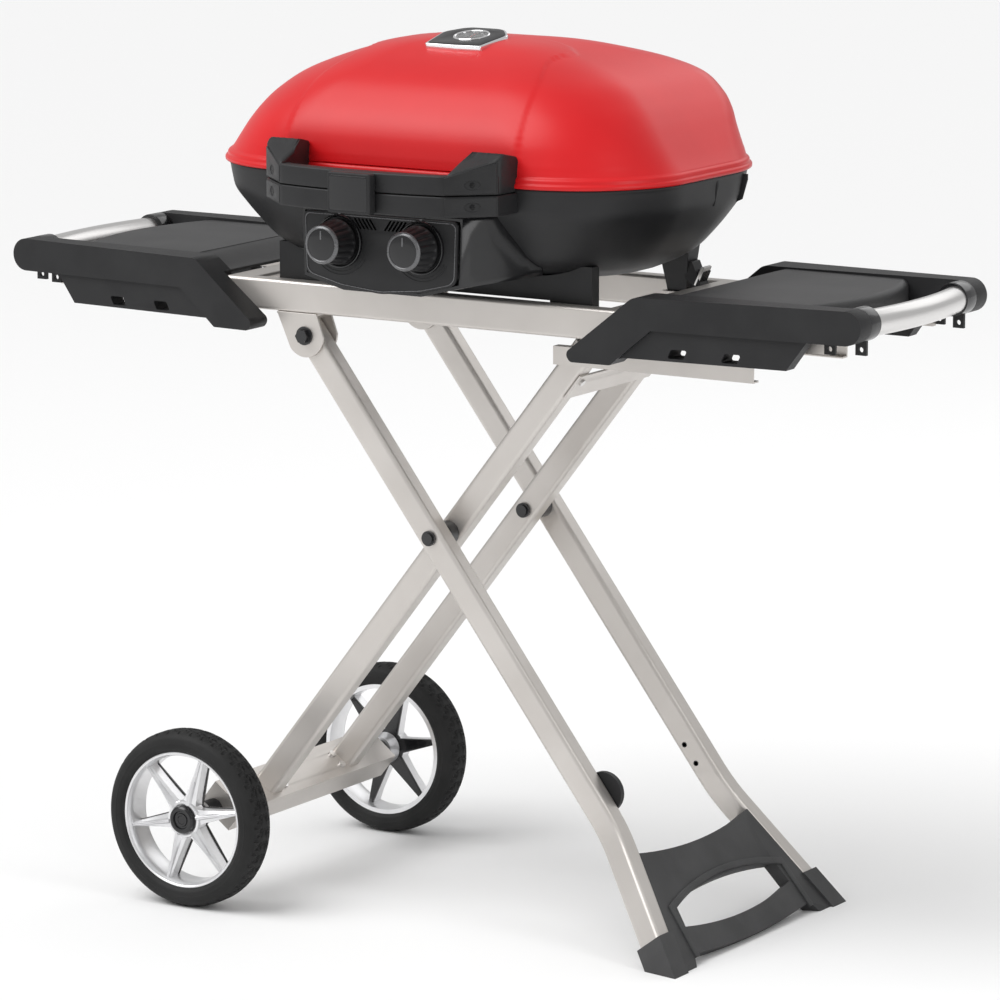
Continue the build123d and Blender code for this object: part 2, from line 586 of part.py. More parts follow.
WHEEL_AXIS = Axis((WHEEL_X, 0, WHEEL_R), (0, 1, 0))
with BuildPart() as wheel_front:
    rim = [(74.0, RIM_IN), (RIM_R, RIM_IN), (RIM_R, RIM_OUT), (75.5, RIM_OUT), (72.5, RIM_OUT - 5),
           (72.5, RIM_IN + 6)]
    revolve(wheel_profile(rim), axis=WHEEL_AXIS)
    hub = [(AXLE_R + RUNNING_GAP, HUB_IN), (15, HUB_IN), (21, 206), (21, HUB_OUT), (10.5, HUB_OUT),
           (10.5, HUB_FLOOR), (AXLE_R + RUNNING_GAP, HUB_FLOOR)]
    revolve(wheel_profile(hub), axis=WHEEL_AXIS)
    for number in range(SPOKES):
        turn = 360 / SPOKES * number + 12
        spoke_plane = Plane(origin=(WHEEL_X, -222, WHEEL_R), x_dir=(cos(radians(turn)), 0, sin(radians(turn))),
                            z_dir=(0, 1, 0))
        with BuildSketch(spoke_plane):
            with BuildLine():
                Polyline((18, -8.5), (74, -6.0), (74, 6.0), (18, 8.5), close=True)
            make_face()
        extrude(amount=28)
pieces["wheel_front"] = wheel_front.part

with BuildPart() as tyre_front:
    low, high = TYRE_MID - TYRE_WIDTH / 2, TYRE_MID + TYRE_WIDTH / 2
    section = [(RIM_R, RIM_IN), (RIM_R, RIM_OUT), (RIM_R + 3, high), (94, high), (WHEEL_R, high - 8),
               (WHEEL_R, low + 8), (94, low), (RIM_R + 3, low)]
    revolve(wheel_profile(section, [0, 0, 3, 5, 5, 5, 5, 3]), axis=WHEEL_AXIS)
pieces["tyre_front"] = tyre_front.part

with BuildPart() as hub_cap_front:
    cap = [(0, 221.2), (16.5, 221.2), (16.5, 224), (13, 226.5), (9, 226.5), (8, 225), (0, 225)]
    revolve(wheel_profile(cap), axis=WHEEL_AXIS)
    revolve(wheel_profile([(9.6, 221.2), (9.6, 219.2), (10.4, 219.2), (10.4, 221.2)]), axis=WHEEL_AXIS)
pieces["hub_cap_front"] = hub_cap_front.part
for part_name in ("wheel", "tyre", "hub_cap"):
    pieces[part_name + "_rear"] = reflected(pieces[part_name + "_front"], FRONT_REAR)

# ---------------------------------------------------------------- cook box
BOWL = [(SEAM_Z - SEAM_GAP, 283, 184, 184, 130, 130), (812, 277, 179, 179, 128, 128),
        (780, 257, 156, 156, 116, 116), (758, 236, 138, 138, 104, 104), (736, 200, 104, 104, 88, 88)]
BURNER_Z = 784.0
with BuildPart() as bowl_outer:
    loft(sections=[dish(*section) for section in BOWL])
with BuildPart() as base_bowl:
    add(bowl_outer.part)
    inner = [shrunk(section, CASTING_WALL, 0) for section in BOWL]
    inner[0] = (SEAM_Z + 0.5,) + inner[0][1:]
    inner[-1] = (736 + CASTING_WALL,) + inner[-1][1:]
    loft(sections=[dish(*section) for section in inner], mode=Mode.SUBTRACT)
    with Locations((0, 0, 738)):
        Box(110, 70, 20, mode=Mode.SUBTRACT)
    for place in (-KNOB_X, KNOB_X):
        with across(place, -165, BURNER_Z):
            Cylinder(9.5, 60, mode=Mode.SUBTRACT)
pieces["base_bowl"] = base_bowl.part

# lugs inside the bowl on which the cooking grates lie
GRATE_LOW, GRATE_TALL = 818.0, 10.0
with BuildPart() as grate_lugs:
    for place in (-180, 0, 180):
        for side in (-1, 1):
            with Locations((place * 0.72, side * 171.5, GRATE_LOW - 5)):
                Box(22, 9, 10)
    for side in (-1, 1):
        with Locations((side * 269.5, 0, GRATE_LOW - 5)):
            Box(9, 22, 10)
pieces["base_bowl"] = pieces["base_bowl"] + (grate_lugs.part & bowl_outer.part)

with BuildPart() as front_stand:
    with Locations((0, -105.5, (LEDGE_TOP + 753) / 2)):
        Box(2 * 203.6, 15, 753 - LEDGE_TOP)
    with Locations((0, -105.5, LEDGE_TOP + 3)):
        Box(300, 20, 20, mode=Mode.SUBTRACT)
    with across(-120, -105.5, 726):
        Cylinder(9, 40, mode=Mode.SUBTRACT)
pieces["front_stand"] = front_stand.part - bowl_outer.part

with BuildPart() as rear_feet:
    for side in (-1, 1):
        with BuildSketch(Plane.XY.offset(LEDGE_TOP)) as low_end:
            with Locations((side * LEDGE_X, 105)):
                Rectangle(24, 15)
        with BuildSketch(Plane.XY.offset(772)) as high_end:
            with Locations((side * LEDGE_X, 100)):
                Rectangle(46, 30)
        loft()
pieces["rear_feet"] = rear_feet.part - bowl_outer.part

# Ribbed thumb catches that lock the rear feet to the frame.
with BuildPart() as catch:
    with BuildSketch(Plane.XZ.offset(-112)):
        with BuildLine():
            FilletPolyline((200, 735), (209, 735), (221, 708), (214, 704), (200, 716), radius=1.5, close=True)
        make_face()
    extrude(amount=18)
    with GridLocations(1, 3.4, 1, 5):
        with Locations((216.5, 103, 716.5)):
            Box(8, 1.8, 20, rotation=(0, 24, 0))
with BuildPart() as frame_catches:
    add(catch.part)
    mirror(about=LEFT_RIGHT)
pieces["frame_catches"] = frame_catches.part - rear_feet.part

# ---------------------------------------------------------------- grease tray
with BuildPart() as grease_tray:
    with Locations((0, 0, 723.5)):
        Box(130, 110, 17)
    with Locations((0, 0, 731.2)):
        Box(146, 110, 1.6)
    with Locations((0, 0, 725.5)):
        Box(126, 106, 17, mode=Mode.SUBTRACT)
    with Locations((0, 58, 723.5)):
        Box(60, 6, 13)
pieces["grease_tray"] = grease_tray.part

with BuildPart() as tray_runners:
    for side in (-1, 1):
        with Locations((side * 75.3, 0, 733.0)):
            Box(3, 116, 9.2)
        with Locations((side * 72, 0, 729.2)):
            Box(8, 116, 1.6)
pieces["base_bowl"] = pieces["base_bowl"] + tray_runners.part

# ---------------------------------------------------------------- burners and gas train
BURNER_R = 9.0
for name, side in (("burner_left", -1), ("burner_right", 1)):
    with BuildPart() as burner:
        with BuildLine() as loop:
            FilletPolyline((side * KNOB_X, -168, BURNER_Z), (side * KNOB_X, 96, BURNER_Z),
                           (side * 190, 96, BURNER_Z), (side * 190, -80, BURNER_Z), radius=30)
        with BuildSketch(Plane(origin=loop.line @ 0, z_dir=loop.line % 0)):
            Circle(BURNER_R)
            Circle(BURNER_R - 1.2, mode=Mode.SUBTRACT)
        sweep()
        with Locations((side * 190, -80 - 1, BURNER_Z)):
            with across(0, 0, 0):
                Cylinder(BURNER_R, 2)
    pieces[name] = burner.part

VALVE_Y = -188.0
with BuildPart() as gas_valves:
    for side in (-1, 1):
        with Locations((side * KNOB_X, VALVE_Y, KNOB_Z)):
            Box(24, 34, 26)
        with across(side * KNOB_X, -208.5, KNOB_Z):
            Cylinder(8, 8)
        with across(side * KNOB_X, -170.5, BURNER_Z):
            Cylinder(4, 3)
    for side in (-1, 1):
        with across(side * KNOB_X, -202, KNOB_Z):
            Cylinder(4.3, 24, mode=Mode.SUBTRACT)
pieces["gas_valves"] = gas_valves.part

PIPE_R = 5.0
INLET_X, INLET_Z = -120.0, 726.0
with BuildPart() as gas_pipe:
    with BuildLine() as run:
        FilletPolyline((44.0, VALVE_Y, KNOB_Z), (-98, VALVE_Y, KNOB_Z), (INLET_X, -172, 762),
                       (INLET_X, -140, INLET_Z), (INLET_X, 180, INLET_Z), radius=12)
    with BuildSketch(Plane(origin=run.line @ 0, z_dir=run.line % 0)):
        Circle(PIPE_R)
        Circle(PIPE_R - 1, mode=Mode.SUBTRACT)
    sweep()
pieces["gas_pipe"] = gas_pipe.part
with BuildPart() as pipe_clearance:
    with BuildSketch(Plane(origin=run.line @ 0, z_dir=run.line % 0)):
        Circle(PIPE_R + 1.5)
    sweep(path=run.line)
with BuildPart() as valve_bores:
    with along(-13, VALVE_Y, KNOB_Z):
        Cylinder(PIPE_R, 2 * 57)
pieces["gas_valves"] = pieces["gas_valves"] - valve_bores.part

INLET_R, INLET_LONG = 7.94, 18.0
with BuildPart() as gas_inlet:
    with BuildSketch(Plane.XZ.offset(-180)):
        with Locations((INLET_X, INLET_Z)):
            RegularPolygon(10.5, 6)
    extrude(amount=-9)
    with across(INLET_X, 189 + INLET_LONG / 2, INLET_Z):
        Cylinder(INLET_R, INLET_LONG)
        Cylinder(4.0, INLET_LONG + 20, mode=Mode.SUBTRACT)
pieces["gas_pipe"] = gas_pipe.part + gas_inlet.part

# ---------------------------------------------------------------- cooking grates
grate_outline = dish(GRATE_LOW, 270, 171, 171, 124, 124)
grate_inner = dish(GRATE_LOW, 263, 164, 164, 117, 117)
for name, side in (("grate_left", -1), ("grate_right", 1)):
    with BuildPart() as grate:
        with BuildSketch(Plane.XY.offset(GRATE_LOW)):
            with Locations((side * 135.5, 0)):
                with GridLocations(16.4, 1, 17, 1):
                    Rectangle(6, 360)
                with GridLocations(1, 110, 1, 2):
                    Rectangle(272, 7)
            with Locations((side * 4, 0)):
                Rectangle(7, 360)
            add(grate_outline, mode=Mode.INTERSECT)
            add(grate_outline)
            add(grate_inner, mode=Mode.SUBTRACT)
            with Locations((side * 135.5, 0)):
                with GridLocations(16.4, 1, 17, 1):
                    Rectangle(6, 325)
                with GridLocations(1, 110, 1, 2):
                    Rectangle(264, 7)
            with Locations((side * 4, 0)):
                Rectangle(7, 336)
            add(grate_outline, mode=Mode.INTERSECT)
            with Locations((side * 140.5, 0)):
                Rectangle(280, 400, mode=Mode.INTERSECT)
        extrude(amount=GRATE_TALL)
    pieces[name] = grate.part

# ---------------------------------------------------------------- control panel
PANEL = [(99.2, 807.0), (97.0, 738.0), (52.0, 726.5), (0.0, 721.5), (-52.0, 726.5), (-97.0, 738.0), (-99.2, 807.0)]
with BuildPart() as control_panel:
    extrude(outline(Plane.XZ.offset(-PANEL_Y - PANEL_THICK), PANEL, [6, 12, 60, 60, 60, 12, 6]),
            amount=PANEL_THICK)
    for place in (-KNOB_X, KNOB_X):
        with across(place, PANEL_Y, KNOB_Z):
            Cylinder(7, 20, mode=Mode.SUBTRACT)
    for side in (-1, 1):
        for number in range(5):
            start = 4.5 + 4.9 * number
            slot = [(side * start, 791), (side * (start + 2.4), 791), (side * (start + 10.4), 802.5),
                    (side * (start + 8.0), 802.5)]
            extrude(outline(Plane.XZ.offset(200), slot), amount=40, mode=Mode.SUBTRACT)
pieces["control_panel"] = control_panel.part

HOUSING_BACK = [(150, 812), (150, 742), (60, 727), (-60, 727), (-150, 742), (-150, 812)]
HOUSING_FRONT = [(103, 810), (101, 735), (50, 722), (-50, 722), (-101, 735), (-103, 810)]
HOUSING_BACK_Y, HOUSING_FRONT_Y = 128.0, -PANEL_Y - PANEL_THICK


def housing_shell(inset):
    """Sections of the panel housing from the bowl to the panel, moved in by inset."""
    sections = []
    for depth, points in ((HOUSING_BACK_Y, HOUSING_BACK), (HOUSING_FRONT_Y, HOUSING_FRONT)):
        moved = [(x - inset * (1 if x > 0 else -1), z - inset if z > 770 else z + inset) for x, z in points]
        sections.append(outline(Plane.XZ.offset(depth), moved))
    return sections


with BuildPart() as panel_housing:
    loft(sections=housing_shell(0.0))
    loft(sections=housing_shell(3.0), mode=Mode.SUBTRACT)
pieces["panel_housing"] = panel_housing.part - bowl_outer.part - pipe_clearance.part

with BuildPart() as knob_rings:
    for place in (-KNOB_X, KNOB_X):
        with across(place, PANEL_Y - 1.8, KNOB_Z):
            Cylinder(29.5, 3.6)
            Cylinder(26.6, 3.6, mode=Mode.SUBTRACT)
pieces["knob_rings"] = knob_rings.part

KNOB_BACK, KNOB_FACE = PANEL_Y - 5.2, PANEL_Y - 38.0
# a pushed stem stops short of the gas pipe behind it
STEM_BACK = -198.5
for name, side in (("left", -1), ("right", 1)):
    with BuildPart() as stem:
        with across(side * KNOB_X, (STEM_BACK + KNOB_FACE + 12) / 2, KNOB_Z):
            Cylinder(4.25 - RUNNING_GAP, STEM_BACK - KNOB_FACE - 12)
    with BuildPart() as knob:
        with BuildSketch(Plane.XZ.offset(-KNOB_BACK)):
            with Locations((side * KNOB_X, KNOB_Z)):
                Circle(25.0)
        with BuildSketch(Plane.XZ.offset(-KNOB_FACE)):
            with Locations((side * KNOB_X, KNOB_Z)):
                Circle(20.5)
        loft()
        fillet(knob.edges().sort_by(Axis.Y)[0], 2.0)
        for number in range(18):
            turn = radians(20 * number)
            with across(side * KNOB_X + 25.6 * cos(turn), (KNOB_BACK + KNOB_FACE) / 2 + 2,
                        KNOB_Z + 25.6 * sin(turn)):
                Cylinder(1.7, 24, mode=Mode.SUBTRACT)
        with Locations((side * KNOB_X, KNOB_FACE, KNOB_Z + 13)):
            Box(2.2, 2.4, 11, mode=Mode.SUBTRACT)
        with across(side * KNOB_X, KNOB_BACK, KNOB_Z):
            Cylinder(4.25, 2 * (KNOB_BACK - KNOB_FACE - 11), mode=Mode.SUBTRACT)
    pieces["valve_stem_" + name] = stem.part
    pieces["knob_" + name] = knob.part

# ---------------------------------------------------------------- front handles
LOW_BAR, HIGH_BAR, BAR_TOP = 816.0, 839.6, 861.0


def bar_plan(z, tail_y):
    """Plan of a handle bar: bowed front, turned back at both ends to its posts."""
    right = [(104.5, -258.0), (149.0, -218.0), (151.0, tail_y), (136.0, tail_y), (134.0, -212.0),
             (97.0, -243.5)]
    left = [(-x, y) for x, y in reversed(right)]
    points = right + left
    with BuildSketch(Plane.XY.offset(z)) as plan:
        with BuildLine():
            Polyline(*points[:6])
            ThreePointArc((97.0, -243.5), (0, -252.5), (-97.0, -243.5))
            Polyline(*left)
            ThreePointArc((-104.5, -258.0), (0, -270.0), (104.5, -258.0))
        make_face()
    return plan.sketch


with BuildPart() as base_handle:
    extrude(bar_plan(LOW_BAR, -150), amount=HIGH_BAR - LOW_BAR - 0.8)
    fillet(base_handle.edges().filter_by(Plane.XY).group_by(Axis.Z)[0].sort_by(Axis.Y)[0], 3)
    for side in (-1, 1):
        with Locations(Location((side * 128, -237, LOW_BAR + 12), (90, 0, side * 42))):
            Cylinder(5.5, 10, mode=Mode.SUBTRACT)
pieces["base_handle"] = base_handle.part - bowl_outer.part

# ---------------------------------------------------------------- lid
LID = [(FLANGE_TOP, 281, 183, 183, 130, 128), (870, 270, 181, 183, 128, 116), (888, 257.5, 177, 183, 124, 102),
       (905, 245, 169, 181, 121, 84), (922, 229, 156, 178, 114, 68), (941, 204, 136, 172, 104, 56),
       (956, 171, 111, 150, 86, 48), (969, 132, 81, 112, 62, 42), (978, 92, 54, 76, 42, 34),
       (984, 40, 24, 34, 20, 18)]
BEZEL_TILT = 9.5
bezel_plane = Plane(origin=(0, -33, 986.5), x_dir=(1, 0, 0),
                    z_dir=(0, -sin(radians(BEZEL_TILT)), cos(radians(BEZEL_TILT))))
with BuildPart() as lid_outer:
    loft(sections=[dish(*section) for section in LID], ruled=True)
    extrude(dish(SEAM_Z, *FLANGE), amount=FLANGE_TOP - SEAM_Z)
hollow = [shrunk(section, CASTING_WALL, 2.0) for section in LID[1:-1]]
hollow = [shrunk(LID[0], CASTING_WALL, 0.0)] + hollow + [(979.5, 36, 21, 30, 17, 15)]
with BuildPart() as lid_cavity:
    loft(sections=[dish(*section) for section in hollow], ruled=True)
    extrude(dish(SEAM_Z - 5, *hollow[0][1:]), amount=FLANGE_TOP - SEAM_Z + 5)
with BuildPart() as lid_shell:
    add(lid_outer.part)
    add(lid_cavity.part, mode=Mode.SUBTRACT)
    # hinge knuckles at the back edge
    for side in (-1, 1):
        with BuildSketch(Plane.YZ.offset(side * 150 - 12)):
            with BuildLine():
                Polyline((186, 845), (HINGE_Y, 842), (HINGE_Y, 856), (186, 854), close=True)
            make_face()
            with Locations((HINGE_Y, HINGE_Z)):
                Circle(7)
        extrude(amount=24)
    with along(0, HINGE_Y, HINGE_Z):
        Cylinder(HINGE_PIN_R + RUNNING_GAP, 400, mode=Mode.SUBTRACT)
    # hole for the thermometer's stem
    with BuildSketch(bezel_plane):
        Circle(4)
    extrude(amount=-45, mode=Mode.SUBTRACT)
pieces["lid_shell"] = lid_shell.part

with BuildPart() as hinge_brackets:
    for side in (-1, 1):
        for place in (side * 150 - 24.5, side * 150 + 12.5):
            with BuildSketch(Plane.YZ.offset(place)):
                with BuildLine():
                    Polyline((176, 822), (190, 822), (204, 842), (204, HINGE_Z), (190, HINGE_Z),
                             (190, SEAM_Z - 0.5), (176, SEAM_Z - 0.5), close=True)
                make_face()
                with Locations((HINGE_Y, HINGE_Z)):
                    Circle(7)
            extrude(amount=12)
    # the pin is pressed into its two brackets
    for side in (-1, 1):
        with along(side * 150, HINGE_Y, HINGE_Z):
            Cylinder(HINGE_PIN_R, 54)
pieces["hinge_brackets"] = hinge_brackets.part - bowl_outer.part

# each end of the lid's bar widens and rises to a chunky post on the lid
with BuildPart() as handle_post:
    with BuildSketch(Plane.XY.offset(HIGH_BAR)):
        with BuildLine():
            Polyline((104.5, -258), (149, -218), (151, -175), (112, -175), (112, -236), (97, -243.5), close=True)
        make_face()
    extrude(amount=50)
    with BuildSketch(Plane.YZ):
        with BuildLine():
            Polyline((-262, HIGH_BAR), (-262, BAR_TOP), (-257, BAR_TOP), (-217, 877.5), (-209, 883), (-175, 876),
                     (-175, SEAM_Z + 0.5), (-186, SEAM_Z + 0.5), (-186, HIGH_BAR), close=True)
        make_face()
    extrude(amount=200, mode=Mode.INTERSECT)
    with Locations(Location((128, -237, HIGH_BAR + 12), (90, 0, 42))):
        Cylinder(5.5, 10, mode=Mode.SUBTRACT)

with BuildPart() as lid_handle:
    extrude(bar_plan(HIGH_BAR, -186), amount=BAR_TOP - HIGH_BAR)
    for side in (-1, 1):
        with Locations(Location((side * 128, -237, HIGH_BAR + 12), (90, 0, side * 42))):
            Cylinder(5.5, 10, mode=Mode.SUBTRACT)
    add(handle_post.part)
    add(handle_post.part.mirror(Plane.YZ))
pieces["lid_handle"] = lid_handle.part - lid_outer.part

with BuildPart() as handle_badge:
    with BuildSketch(Plane.XZ.offset(270.3)):
        with Locations((0, 838.5)):
            RectangleRounded(54, 44, 2)
    extrude(amount=12.7)
    fillet(handle_badge.edges().filter_by(Plane.XZ).group_by(Axis.Y)[0], 1.5)
pieces["handle_badge"] = handle_badge.part

# ---------------------------------------------------------------- lid thermometer
bezel_points = [(-35.5, -41), (35.5, -41), (42.5, 10), (22, 34), (-22, 34), (-42.5, 10)]
with BuildPart() as thermometer_bezel:
    extrude(outline(bezel_plane.offset(-22), bezel_points, [3, 3, 12, 18, 18, 12]), amount=22)
    with BuildSketch(bezel_plane):
        with Locations((0, 0)):
            Circle(19)
    extrude(amount=-2.2, mode=Mode.SUBTRACT)
    with BuildSketch(bezel_plane):
        Circle(4)
    extrude(amount=-40, mode=Mode.SUBTRACT)
pieces["thermometer_bezel"] = thermometer_bezel.part - lid_outer.part

# the instrument: dial plate with its needle, stem and clamping nut
with BuildPart() as gauge_dial:
    with BuildSketch(bezel_plane.offset(-2.2)):
        Circle(19)
    extrude(amount=0.9)
    with BuildSketch(bezel_plane.offset(-1.3)):
        Rectangle(1.2, 26)
    extrude(amount=0.3)
    with BuildSketch(bezel_plane.offset(-2.2)):
        Circle(3.4)
    extrude(amount=-58)
    with BuildSketch(bezel_plane.offset(-30)):
        RegularPolygon(7, 6)
    extrude(amount=-4)
pieces["gauge_dial"] = gauge_dial.part

with BuildPart() as gauge_glass:
    with BuildSketch(bezel_plane.offset(-0.9)):
        Circle(19)
    extrude(amount=0.9)
pieces["gauge_glass"] = gauge_glass.part

# ---------------------------------------------------------------- write every piece
for name, part in pieces.items():
    piece = part.moved(Location((0, ORIGIN_SHIFT, 0)))
    piece.label = name
    export_step(piece, "parts/" + name + ".step")
print("pieces", len(pieces))
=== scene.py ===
import json
import math

import bpy
import bmesh
from mathutils import Matrix, Vector

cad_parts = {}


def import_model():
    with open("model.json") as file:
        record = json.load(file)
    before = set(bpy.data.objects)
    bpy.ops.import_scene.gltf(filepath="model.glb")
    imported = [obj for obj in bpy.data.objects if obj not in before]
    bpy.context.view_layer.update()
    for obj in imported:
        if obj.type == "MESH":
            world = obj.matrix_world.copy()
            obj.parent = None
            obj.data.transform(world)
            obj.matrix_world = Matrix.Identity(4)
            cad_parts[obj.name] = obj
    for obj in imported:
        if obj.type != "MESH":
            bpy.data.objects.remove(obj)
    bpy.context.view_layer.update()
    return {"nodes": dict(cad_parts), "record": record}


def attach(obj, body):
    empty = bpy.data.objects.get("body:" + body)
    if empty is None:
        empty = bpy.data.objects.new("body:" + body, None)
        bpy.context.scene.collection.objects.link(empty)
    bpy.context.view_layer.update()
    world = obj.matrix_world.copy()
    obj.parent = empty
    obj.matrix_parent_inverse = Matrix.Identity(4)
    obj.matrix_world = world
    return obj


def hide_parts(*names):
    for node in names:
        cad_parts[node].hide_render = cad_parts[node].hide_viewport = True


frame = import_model()

# ---------------------------------------------------------------- frame of reference
# Sizes below are in millimetres about the cart's middle plane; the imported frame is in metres
# and stands SHIFT_Y further back.
SHIFT_Y = 27.0
MM = 0.001


def world(x, y, z):
    return Vector((x * MM, (y + SHIFT_Y) * MM, z * MM))


def rad(angle):
    return math.radians(angle)


# ---------------------------------------------------------------- materials
def principled(name, colour, rough, metal=0.0, coat=0.0, coat_rough=0.1, spec=0.5, trans=0.0):
    mat = bpy.data.materials.new(name)
    mat.use_nodes = True
    shader = mat.node_tree.nodes["Principled BSDF"]
    shader.inputs["Base Color"].default_value = (*colour, 1.0)
    shader.inputs["Roughness"].default_value = rough
    shader.inputs["Metallic"].default_value = metal
    shader.inputs["Coat Weight"].default_value = coat
    shader.inputs["Coat Roughness"].default_value = coat_rough
    shader.inputs["Specular IOR Level"].default_value = spec
    shader.inputs["Transmission Weight"].default_value = trans
    return mat


def grain(mat, scale, strength, distance, stretch=(1, 1, 1), rough_span=None):
    """Fine relief, and optionally a matching variation in roughness, from procedural noise."""
    tree = mat.node_tree
    shader = tree.nodes["Principled BSDF"]
    coords = tree.nodes.new("ShaderNodeTexCoord")
    mapping = tree.nodes.new("ShaderNodeMapping")
    mapping.inputs["Scale"].default_value = stretch
    tree.links.new(coords.outputs["Object"], mapping.inputs["Vector"])
    texture = tree.nodes.new("ShaderNodeTexNoise")
    texture.inputs["Detail"].default_value = 4.0
    source = texture.outputs["Fac"]
    texture.inputs["Scale"].default_value = scale
    tree.links.new(mapping.outputs["Vector"], texture.inputs["Vector"])
    bump = tree.nodes.new("ShaderNodeBump")
    bump.inputs["Strength"].default_value = strength
    bump.inputs["Distance"].default_value = distance
    tree.links.new(source, bump.inputs["Height"])
    tree.links.new(bump.outputs["Normal"], shader.inputs["Normal"])
    if rough_span:
        spread = tree.nodes.new("ShaderNodeMapRange")
        spread.inputs["To Min"].default_value = rough_span[0]
        spread.inputs["To Max"].default_value = rough_span[1]
        tree.links.new(source, spread.inputs["Value"])
        tree.links.new(spread.outputs["Result"], shader.inputs["Roughness"])
    return mat


def tinted(mat, colour_a, colour_b, scale, low=0.35, high=0.65):
    """Slow variation between two close colours."""
    tree = mat.node_tree
    shader = tree.nodes["Principled BSDF"]
    coords = tree.nodes.new("ShaderNodeTexCoord")
    noise = tree.nodes.new("ShaderNodeTexNoise")
    noise.inputs["Scale"].default_value = scale
    noise.inputs["Detail"].default_value = 3.0
    ramp = tree.nodes.new("ShaderNodeValToRGB")
    ramp.color_ramp.elements[0].position = low
    ramp.color_ramp.elements[1].position = high
    ramp.color_ramp.elements[0].color = (*colour_a, 1)
    ramp.color_ramp.elements[1].color = (*colour_b, 1)
    tree.links.new(coords.outputs["Object"], noise.inputs["Vector"])
    tree.links.new(noise.outputs["Fac"], ramp.inputs["Fac"])
    tree.links.new(ramp.outputs["Color"], shader.inputs["Base Color"])
    return mat


RED = tinted(grain(principled("lid_red", (0.62, 0.006, 0.009), 0.36, coat=0.10, coat_rough=0.3, spec=0.32),
                   900, 0.10, 0.0002, rough_span=(0.33, 0.42)),
             (0.60, 0.005, 0.008), (0.65, 0.008, 0.011), 9)
BLACK_PAINT = tinted(grain(principled("box_black", (0.014, 0.014, 0.015), 0.44, spec=0.38),
                           1400, 0.22, 0.0003, rough_span=(0.42, 0.56)),
                     (0.012, 0.012, 0.013), (0.017, 0.017, 0.018), 14)
BLACK_PLASTIC = tinted(grain(principled("plastic_black", (0.012, 0.012, 0.013), 0.40, spec=0.38),
                             1900, 0.25, 0.0003, rough_span=(0.40, 0.56)),
                       (0.010, 0.010, 0.011), (0.015, 0.015, 0.016), 22)
CHEEK_PLASTIC = tinted(grain(principled("plastic_cheek", (0.013, 0.013, 0.014), 0.46, spec=0.36),
                             1600, 0.40, 0.0004, rough_span=(0.44, 0.62)),
                       (0.011, 0.011, 0.012), (0.017, 0.017, 0.018), 18)
FOOT_PLASTIC = tinted(grain(principled("plastic_foot", (0.045, 0.045, 0.046), 0.55, spec=0.4),
                            1500, 0.45, 0.0004, rough_span=(0.5, 0.7)),
                      (0.040, 0.040, 0.041), (0.054, 0.054, 0.055), 20)
GREY_PLASTIC = tinted(grain(principled("plastic_grey", (0.03, 0.03, 0.031), 0.5, spec=0.4),
                            1700, 0.35, 0.0003, rough_span=(0.42, 0.58)),
                      (0.026, 0.026, 0.027), (0.036, 0.036, 0.037), 16)
GLOSS_BLACK = grain(principled("gloss_black", (0.008, 0.008, 0.009), 0.22, coat=0.25, coat_rough=0.1,
                               spec=0.45),
                    300, 0.04, 0.0002, rough_span=(0.16, 0.26))
BLACK_STEEL = grain(principled("steel_black", (0.014, 0.014, 0.015), 0.34, coat=0.3, coat_rough=0.15),
                    700, 0.12, 0.0002, rough_span=(0.28, 0.42))
FRAME_STEEL = tinted(grain(principled("steel_champagne", (0.62, 0.59, 0.56), 0.38, metal=0.82),
                           1500, 0.10, 0.0002, rough_span=(0.36, 0.46)),
                     (0.60, 0.568, 0.537), (0.66, 0.628, 0.597), 10)
BRIGHT_STEEL = grain(principled("steel_brushed", (0.72, 0.71, 0.70), 0.3, metal=0.95),
                     60, 0.10, 0.0002, stretch=(1, 24, 24), rough_span=(0.24, 0.36))
WHEEL_SILVER = tinted(grain(principled("wheel_silver", (0.82, 0.82, 0.83), 0.32, metal=0.8, coat=0.3,
                                       coat_rough=0.12), 900, 0.03, 0.0002, rough_span=(0.27, 0.37)),
                      (0.80, 0.80, 0.81), (0.86, 0.86, 0.87), 30)
CHROME = grain(principled("chrome", (0.86, 0.86, 0.87), 0.09, metal=1.0), 200, 0.03, 0.0002,
               rough_span=(0.06, 0.13))
TYRE = tinted(grain(principled("tyre_rubber", (0.012, 0.012, 0.012), 0.55, spec=0.32),
                    900, 0.35, 0.0004, rough_span=(0.55, 0.75)),
              (0.010, 0.010, 0.010), (0.016, 0.016, 0.016), 30)
BRASS = grain(principled("brass", (0.72, 0.50, 0.22), 0.3, metal=1.0), 400, 0.1, 0.0002,
              rough_span=(0.25, 0.38))
IRON = grain(principled("enamel_iron", (0.02, 0.02, 0.02), 0.35, coat=0.2), 500, 0.35, 0.0004,
             rough_span=(0.28, 0.5))
ALU = grain(principled("aluminium", (0.80, 0.80, 0.81), 0.34, metal=1.0), 500, 0.12, 0.0003,
            rough_span=(0.28, 0.42))
SATIN_RING = grain(principled("satin_ring", (0.14, 0.14, 0.145), 0.28, metal=0.5), 400, 0.05, 0.0002,
                   rough_span=(0.22, 0.34))
DIAL = grain(principled("dial", (0.008, 0.008, 0.009), 0.3, spec=0.3), 300, 0.05, 0.0002,
             rough_span=(0.25, 0.35))
WHITE_INK = grain(principled("dial_marks", (0.75, 0.75, 0.75), 0.5), 300, 0.05, 0.0002,
                  rough_span=(0.45, 0.55))
RED_INK = grain(principled("dial_needle", (0.55, 0.02, 0.02), 0.4), 300, 0.05, 0.0002,
                rough_span=(0.35, 0.45))
GLASS = grain(principled("gauge_glass_clear", (1, 1, 1), 0.03, trans=1.0), 300, 0.01, 0.0001,
              rough_span=(0.02, 0.04))
FLOOR = grain(principled("floor_white", (0.90, 0.90, 0.90), 0.75), 60, 0.02, 0.0005, rough_span=(0.7, 0.8))

